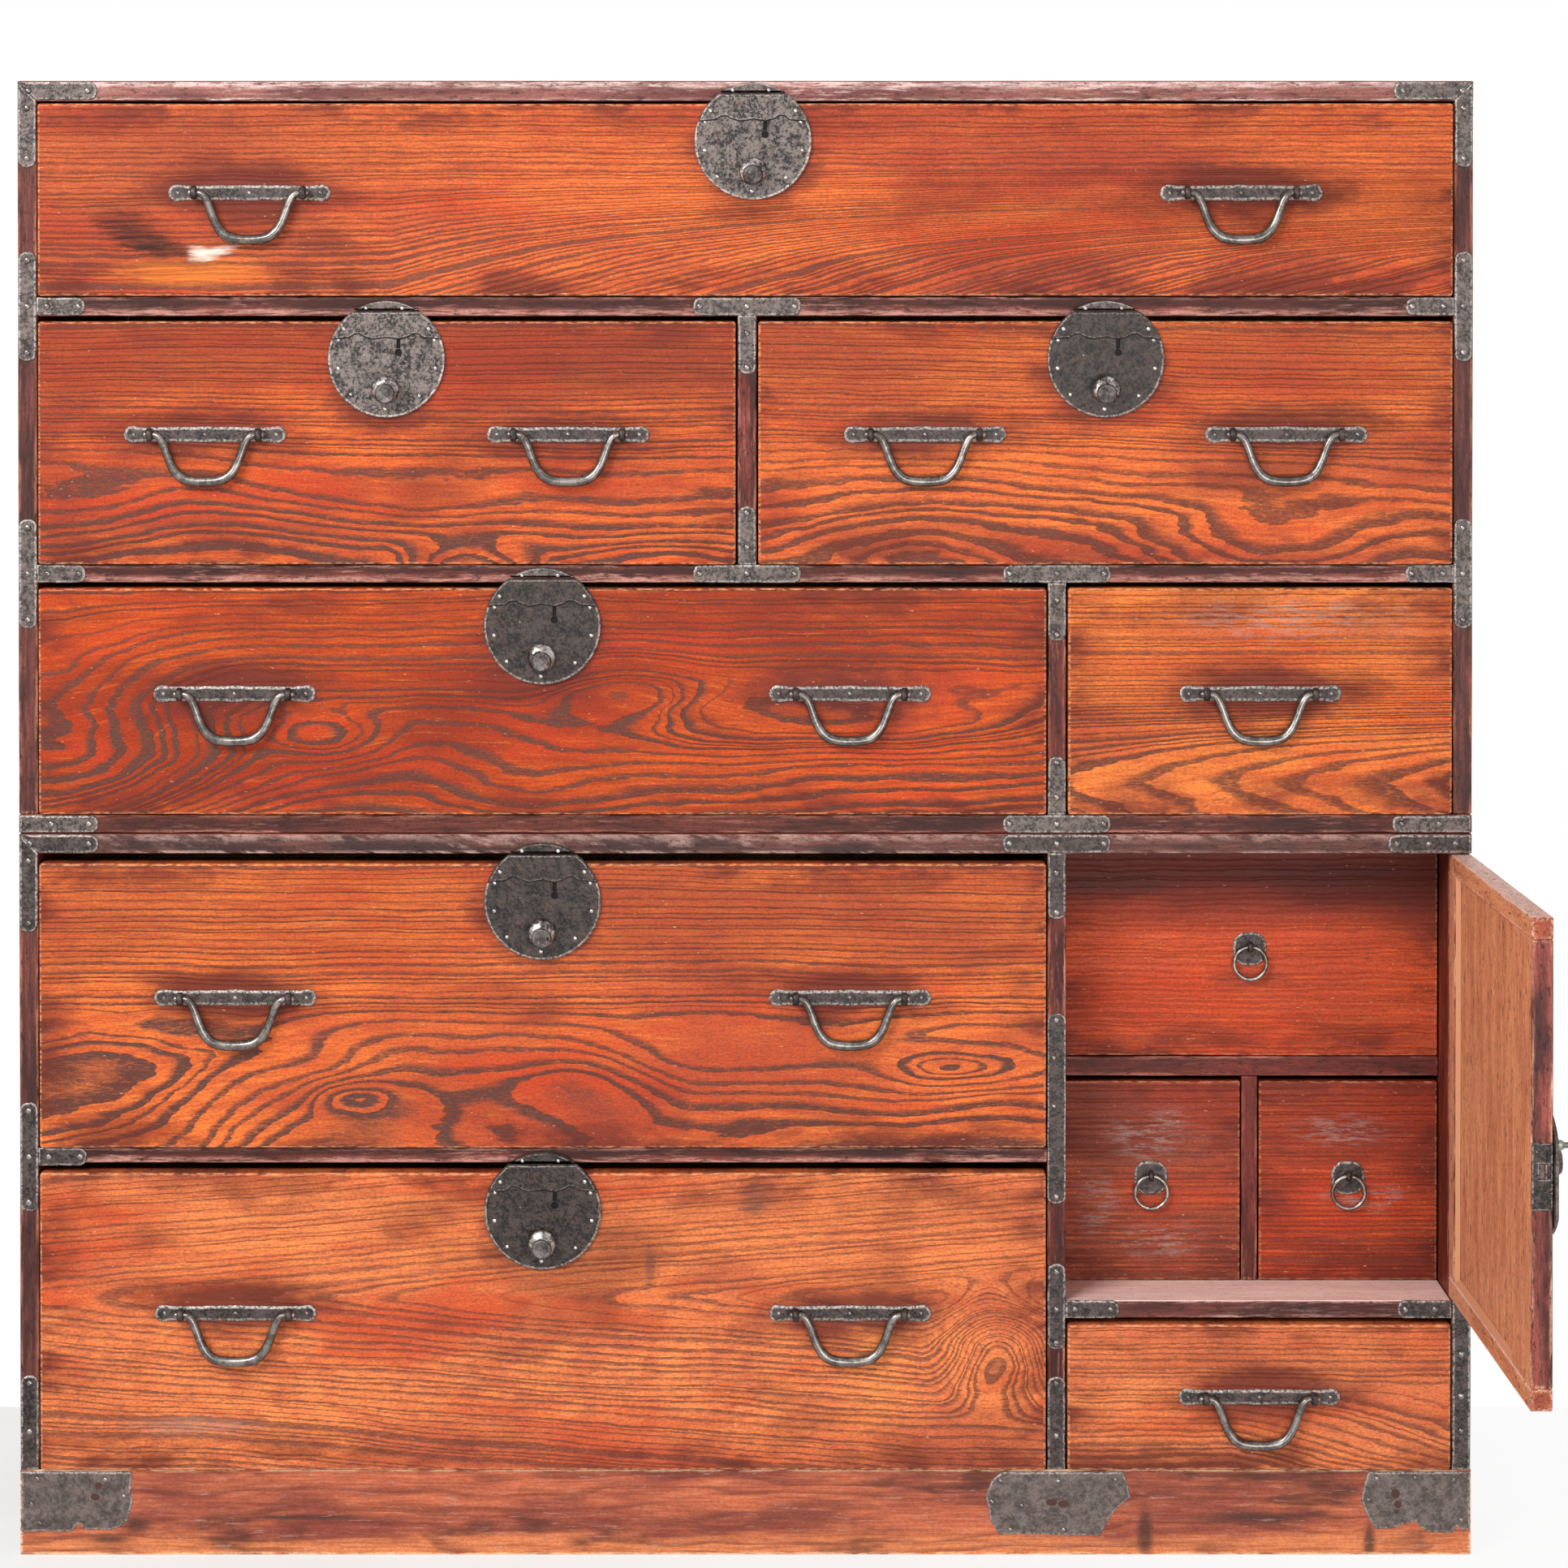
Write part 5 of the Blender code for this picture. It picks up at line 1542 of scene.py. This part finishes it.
stain = paint(92, 62, 52)
front_finishes = {
    "top_drawer": dict(
        seed=1.3, ring=0.0040, bold=0.1, swirl=0.006, ripple=0.0020, line_strength=0.8,
        fan=(-0.26, 0.24),
        bright=paint(238, 118, 54), deep=paint(180, 68, 40), dusk=0.25,
        marks=(
            ((-0.440, 0.010), (0.260, 0.090), 0.0, paint(104, 44, 34), 0.70),
            ((-0.410, -0.054), (0.074, 0.013), 0.0, paint(236, 134, 44), 0.8),
            ((-0.452, -0.022), (0.046, 0.020), -0.45, paint(30, 24, 22), 1.0),
            ((-0.434, -0.034), (0.050, 0.011), -0.35, paint(34, 27, 24), 1.0),
            ((-0.393, -0.0395), (0.022, 0.005), 0.22, paint(246, 230, 216), 1.0),
            ((-0.402, -0.0385), (0.010, 0.006), -0.3, paint(240, 220, 204), 1.0),
        ),
    ),
    "middle_left_drawer": dict(
        seed=2.7, ring=0.0038, bold=0.66, swirl=0.018, flow=(4.0, 11.0), ripple=0.0014, line_strength=1.0,
        bright=paint(228, 108, 44), deep=paint(162, 58, 32), dusk=0.5,
        swells=(
            ((-0.12, -0.060), (0.09, 0.030), -0.008),
            ((0.055, -0.096), (0.045, 0.022), 0.020),
            ((0.200, -0.090), (0.060, 0.022), -0.012),
        ),
    ),
    "middle_right_drawer": dict(
        seed=4.1, ring=0.0038, bold=0.62, swirl=0.018, flow=(3.0, 11.0), ripple=0.0018, line_strength=0.9,
        bright=paint(240, 122, 52), deep=paint(178, 70, 38), dusk=0.35,
        slope=-0.018,
        swells=(((-0.150, -0.075), (0.06, 0.024), -0.006), ((0.130, -0.075), (0.09, 0.026), 0.009)),
    ),
    "low_left_drawer": dict(
        seed=5.9, ring=0.0062, bold=0.45, swirl=0.030, flow=(4.5, 10.0), ripple=0.0026, line_strength=1.0,
        bright=paint(208, 86, 22), deep=paint(146, 46, 16),
        swells=(
            ((-0.400, -0.045), (0.13, 0.085), 0.075),
            ((-0.160, -0.026), (0.045, 0.018), 0.018),
            ((0.060, 0.010), (0.055, 0.030), -0.024),
            ((0.230, -0.014), (0.15, 0.022), 0.036),
        ),
    ),
    "low_right_drawer": dict(
        seed=7.2, ring=0.0042, bold=0.72, swirl=0.005, ripple=0.0014, line_strength=0.9,
        heart=(-0.058, 0.007, 0.0), fan=(-0.22, 0.085),
        scuffs=(((0.030, 0.060), (0.110, 0.020)),),
        bright=paint(240, 132, 56), deep=paint(190, 84, 40),
    ),
    "upper_deep_drawer": dict(
        seed=8.6, ring=0.0046, bold=0.70, swirl=0.026, flow=(4.6, 9.0), ripple=0.0014, line_strength=1.0,
        swells=(
            ((-0.400, -0.090), (0.15, 0.060), 0.040),
            ((-0.143, -0.068), (0.030, 0.012), -0.009),
            ((0.020, -0.050), (0.060, 0.030), -0.016),
            ((0.320, -0.048), (0.055, 0.018), 0.016),
        ),
        bright=paint(238, 122, 54), deep=paint(178, 72, 40), dusk=0.3,
    ),
    "lower_deep_drawer": dict(
        seed=9.4, ring=0.0050, bold=0.0, swirl=0.010, flow=(5.0, 13.0), ripple=0.0020, line_strength=0.72,
        heart=(0.018, 0.009, 0.075),
        swells=(((0.334, -0.020), (0.036, 0.036), 0.060),),
        bright=paint(238, 136, 76), deep=paint(190, 90, 56),
        marks=(
            ((0.157, 0.090), (0.018, 0.014), 0.5, stain, 1.0),
            ((0.079, 0.040), (0.006, 0.020), 0.0, stain, 1.0),
            ((-0.257, -0.077), (0.060, 0.009), 0.0, paint(150, 122, 112), 0.7),
        ),
    ),
    "corner_drawer": dict(
        seed=11.1, ring=0.0042, bold=0.1, swirl=0.006, ripple=0.0022, fan=(-0.02, -0.22), line_strength=0.72,
        bright=paint(246, 148, 84), deep=paint(208, 108, 66),
    ),
    "inner_wide_drawer": dict(
        seed=12.3, ring=0.0046, bold=0.0, swirl=0.006, ripple=0.003, line_strength=0.25, dusk=1.0,
        bright=paint(220, 90, 46), deep=paint(168, 62, 38), worn=0.3,
        marks=(
            ((0.12, 0.030), (0.05, 0.030), 0.0, paint(96, 44, 36), 0.6),
            # The two dark marks along the top are painted shade under the rail above.
            ((-0.10, 0.050), (0.07, 0.014), 0.0, paint(60, 32, 30), 0.8),
            ((0.05, 0.060), (0.09, 0.012), 0.0, paint(60, 32, 30), 0.8),
            ((0.0, -0.020), (0.040, 0.014), 0.0, paint(88, 42, 36), 0.8),
        ),
    ),
    "inner_left_drawer": dict(
        seed=13.3, ring=0.0050, bold=0.0, swirl=0.002, ripple=0.001, line_strength=0.5,
        bright=paint(170, 76, 48), deep=paint(112, 54, 42), worn=0.3, dusk=0.5,
        scuffs=(
            ((0.0, 0.034), (0.055, 0.026)),
            ((0.005, -0.045), (0.045, 0.016)),
            ((-0.04, -0.02), (0.02, 0.03)),
        ),
    ),
    "inner_right_drawer": dict(
        seed=14.3, ring=0.0042, bold=0.0, swirl=0.002, ripple=0.001, line_strength=0.5,
        bright=paint(202, 78, 40), deep=paint(128, 42, 28), worn=0.3, dusk=0.5,
        scuffs=(((0.0, 0.036), (0.050, 0.020)), ((0.01, -0.012), (0.045, 0.014))),
    ),
}

for drawer, looks in front_finishes.items():
    wood = lacquered_front(f"{drawer}_lacquer", smudges=hands(drawer), **looks)
    dress_drawer(drawer, wood)
lock_caps["upper_case"].done("upper_lock_caps")
lock_caps["lower_case"].done("lower_lock_caps")


# The door.


def dress_door():
    """The open door, made as if shut in the space of its hinge and then turned open."""
    spin = Matrix.Translation(hinge_place) @ Matrix.Rotation(open_angle, 4, "Z")
    low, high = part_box("door_frame")
    pin = 0.0065
    bottom, top = low.z + pin, high.z - pin
    free_x = 0.0012 + post[1] - hinge_place.x
    hinge_x = 0.005
    face, inside = -0.005, 0.010
    rail = 0.015
    left, right = free_x + 0.062, hinge_x - 0.020
    gap = 0.0001
    stiles = [
        ((free_x, face, bottom + rail + gap), (left, inside, top - rail - gap), "Z"),
        ((right, face, bottom + rail + gap), (hinge_x, inside, top - rail - gap), "Z"),
    ]
    boards("door_stiles", stiles, door_wood, "door", ("door_frame",), edge=0.0009, spin=spin)
    cross = [
        ((free_x, face, bottom), (hinge_x, inside, bottom + rail), "X"),
        ((free_x, face, top - rail), (hinge_x, inside, top), "X"),
    ]
    boards("door_rails", cross, rail_end_wood, "door", ("door_frame",), edge=0.0009, spin=spin)
    bottom, top = bottom + rail, top - rail
    bead = bmesh.new()
    shallow, deep = inside - 0.0006, inside - 0.0044
    loops = []
    for inward, y in ((-0.0008, shallow), (0.0034, deep), (-0.0008, deep)):
        a, b, c, d = left + inward, right - inward, bottom + inward, top - inward
        corners = ((a, c), (b, c), (b, d), (a, d))
        loops.append([bead.verts.new(spin @ Vector((x, y, z))) for x, z in corners])
    for a, b in zip(loops, loops[1:] + loops[:1]):
        for i in range(4):
            j = (i + 1) % 4
            bead.faces.new((a[i], a[j], b[j], b[i]))
    new_piece("door_bead", mesh_of(bead, "door_bead"), bead_wood, "door")
    panel_low = (left + fit_gap, face + 0.0005, bottom + fit_gap)
    panel_high = (right - fit_gap, inside - 0.0045, top - fit_gap)
    panel = [(panel_low, panel_high, "Z")]
    boards("door_panel_board", panel, door_wood, "door", ("door_panel",), edge=0.0005, spin=spin)
    return spin @ Matrix.Translation((free_x + 0.0002, 0, 0)) @ Matrix.Rotation(-math.pi / 2, 4, "Z")


def dress_door_irons(place):
    """The strip on the door's free edge, with the slot of the bolt and its nails."""
    low, high = 0.3240, 0.3690
    irons = Ironwork("door", dark_iron, nail_iron)
    bolt_low, bolt_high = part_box("door_bolt")
    slot_low, slot_high = bolt_low.z - 0.0006, bolt_high.z + 0.0006
    left, right = -0.0096, 0.0046
    slot_left, slot_right = -0.0044, -0.0006
    for start, bottom, end, top in (
        (left, low, right, slot_low),
        (left, slot_low, slot_left, slot_high),
        (slot_right, slot_low, right, slot_high),
        (left, slot_high, right, high),
    ):
        outline = [(start, bottom), (end, bottom), (end, top), (start, top)]
        add_plate(irons.shape, outline, 0.0011, place, 0.0004, 0.0001)
    facing = (place.to_3x3() @ Vector((0, -1, 0))).normalized()
    for x, z, radius in ((-0.0010, low + 0.012, 0.0016), (-0.0060, high - 0.006, 0.0017)):
        irons.nails.append((place @ Vector((x, 0, z)) + facing * 0.0003, facing, radius))
    irons.done("door_edge_iron")


dress_door_irons(dress_door())
for plain in ("door_lock_plate", "door_lock_button", "door_key", "door_bolt"):
    repaint(plain, key_brass if plain == "door_key" else plate_iron)


# Floor, wall, lights and camera.


def seen_rays(t):
    """1 for rays that show the background: straight to the camera, by reflection or through."""
    rays = t.node("ShaderNodeLightPath").outputs
    total = rays["Is Camera Ray"]
    for kind in ("Is Glossy Ray", "Is Transmission Ray"):
        total = t.node("ShaderNodeMath", ((0, total), (1, rays[kind])), operation="MAXIMUM").outputs[0]
    return total


def pale_stage():
    """A pale floor in front of the wall line, which is plain white to the camera beyond it."""
    f = Finish("pale_floor")
    place = f.object_place()
    spots = f.clouds(place, (5, 5, 5), 4.0)
    colour = f.coat(paint(222, 219, 215), paint(236, 234, 231), spots, 0.3, 0.7)
    feeds = (("Base Color", colour), ("Roughness", 0.6), ("Specular IOR Level", 0.2))
    floor = f.node("ShaderNodeBsdfPrincipled", feeds).outputs[0]
    wall = f.node("ShaderNodeEmission", (("Color", (1, 1, 1, 1)), ("Strength", 1.0))).outputs[0]
    beyond = f.number("GREATER_THAN", f.parts(place)[1], case_back - 0.02)
    # Painted light: to the camera the floor is partly plain white, more so towards the right, which brightens
    # the floor and fades the shadows on it.
    share = f.most(beyond, f.spread(f.parts(place)[0], -0.5, 0.8, 0.60, 0.95))
    shown = f.times(share, seen_rays(f))
    mix = f.node("ShaderNodeMixShader", ((0, shown), (1, floor), (2, wall)))
    f.node("ShaderNodeOutputMaterial", (("Surface", mix.outputs[0]),))
    return f.material


def make_stage():
    shape = bmesh.new()
    corners = [(-6, -6), (6, -6), (6, 6), (-6, 6)]
    shape.faces.new([shape.verts.new((x, y, 0)) for x, y in corners])
    mesh = bpy.data.meshes.new("floor")
    shape.to_mesh(mesh)
    shape.free()
    floor = bpy.data.objects.new("floor", mesh)
    mesh.materials.append(pale_stage())
    bpy.context.scene.collection.objects.link(floor)


def make_world():
    """A white backdrop that lights the room less brightly than it looks."""
    world = bpy.data.worlds.new("studio")
    bpy.context.scene.world = world
    world.use_nodes = True
    t = NodeTree(world.node_tree)
    t.tree.nodes.clear()
    light, look = (
        t.node("ShaderNodeBackground", (("Color", (1, 1, 1, 1)), ("Strength", strength))).outputs[0]
        for strength in (0.42, 1.0)
    )
    mix = t.node("ShaderNodeMixShader", ((0, seen_rays(t)), (1, light), (2, look)))
    t.node("ShaderNodeOutputWorld", ((0, mix.outputs[0]),))


def add_softbox(name, place, target, size, power):
    lamp = bpy.data.lights.new(name, "AREA")
    lamp.shape = "RECTANGLE"
    lamp.size, lamp.size_y = size
    lamp.energy = power
    made = bpy.data.objects.new(name, lamp)
    made.location = place
    made.rotation_euler = (Vector(target) - Vector(place)).to_track_quat("-Z", "Y").to_euler()
    bpy.context.scene.collection.objects.link(made)


def make_camera():
    lens = bpy.data.cameras.new("camera")
    lens.sensor_width = 36
    lens.lens = 87.871
    lens.shift_y = -0.2753
    made = bpy.data.objects.new("camera", lens)
    made.location = (0.0285, -2.8331, 0.9250)
    made.rotation_euler = (math.pi / 2 - 0.01215, 0, 0)
    bpy.context.scene.collection.objects.link(made)
    bpy.context.scene.camera = made


make_stage()
make_world()
add_softbox("key_light", (-1.5, -2.3, 2.2), (0, 0, 0.50), (1.5, 0.9), 88)
add_softbox("fill_light", (0.7, -3.2, 0.5), (0, 0, 0.3), (1.8, 1.0), 46)
make_camera()
bpy.context.scene.view_settings.view_transform = "Standard"
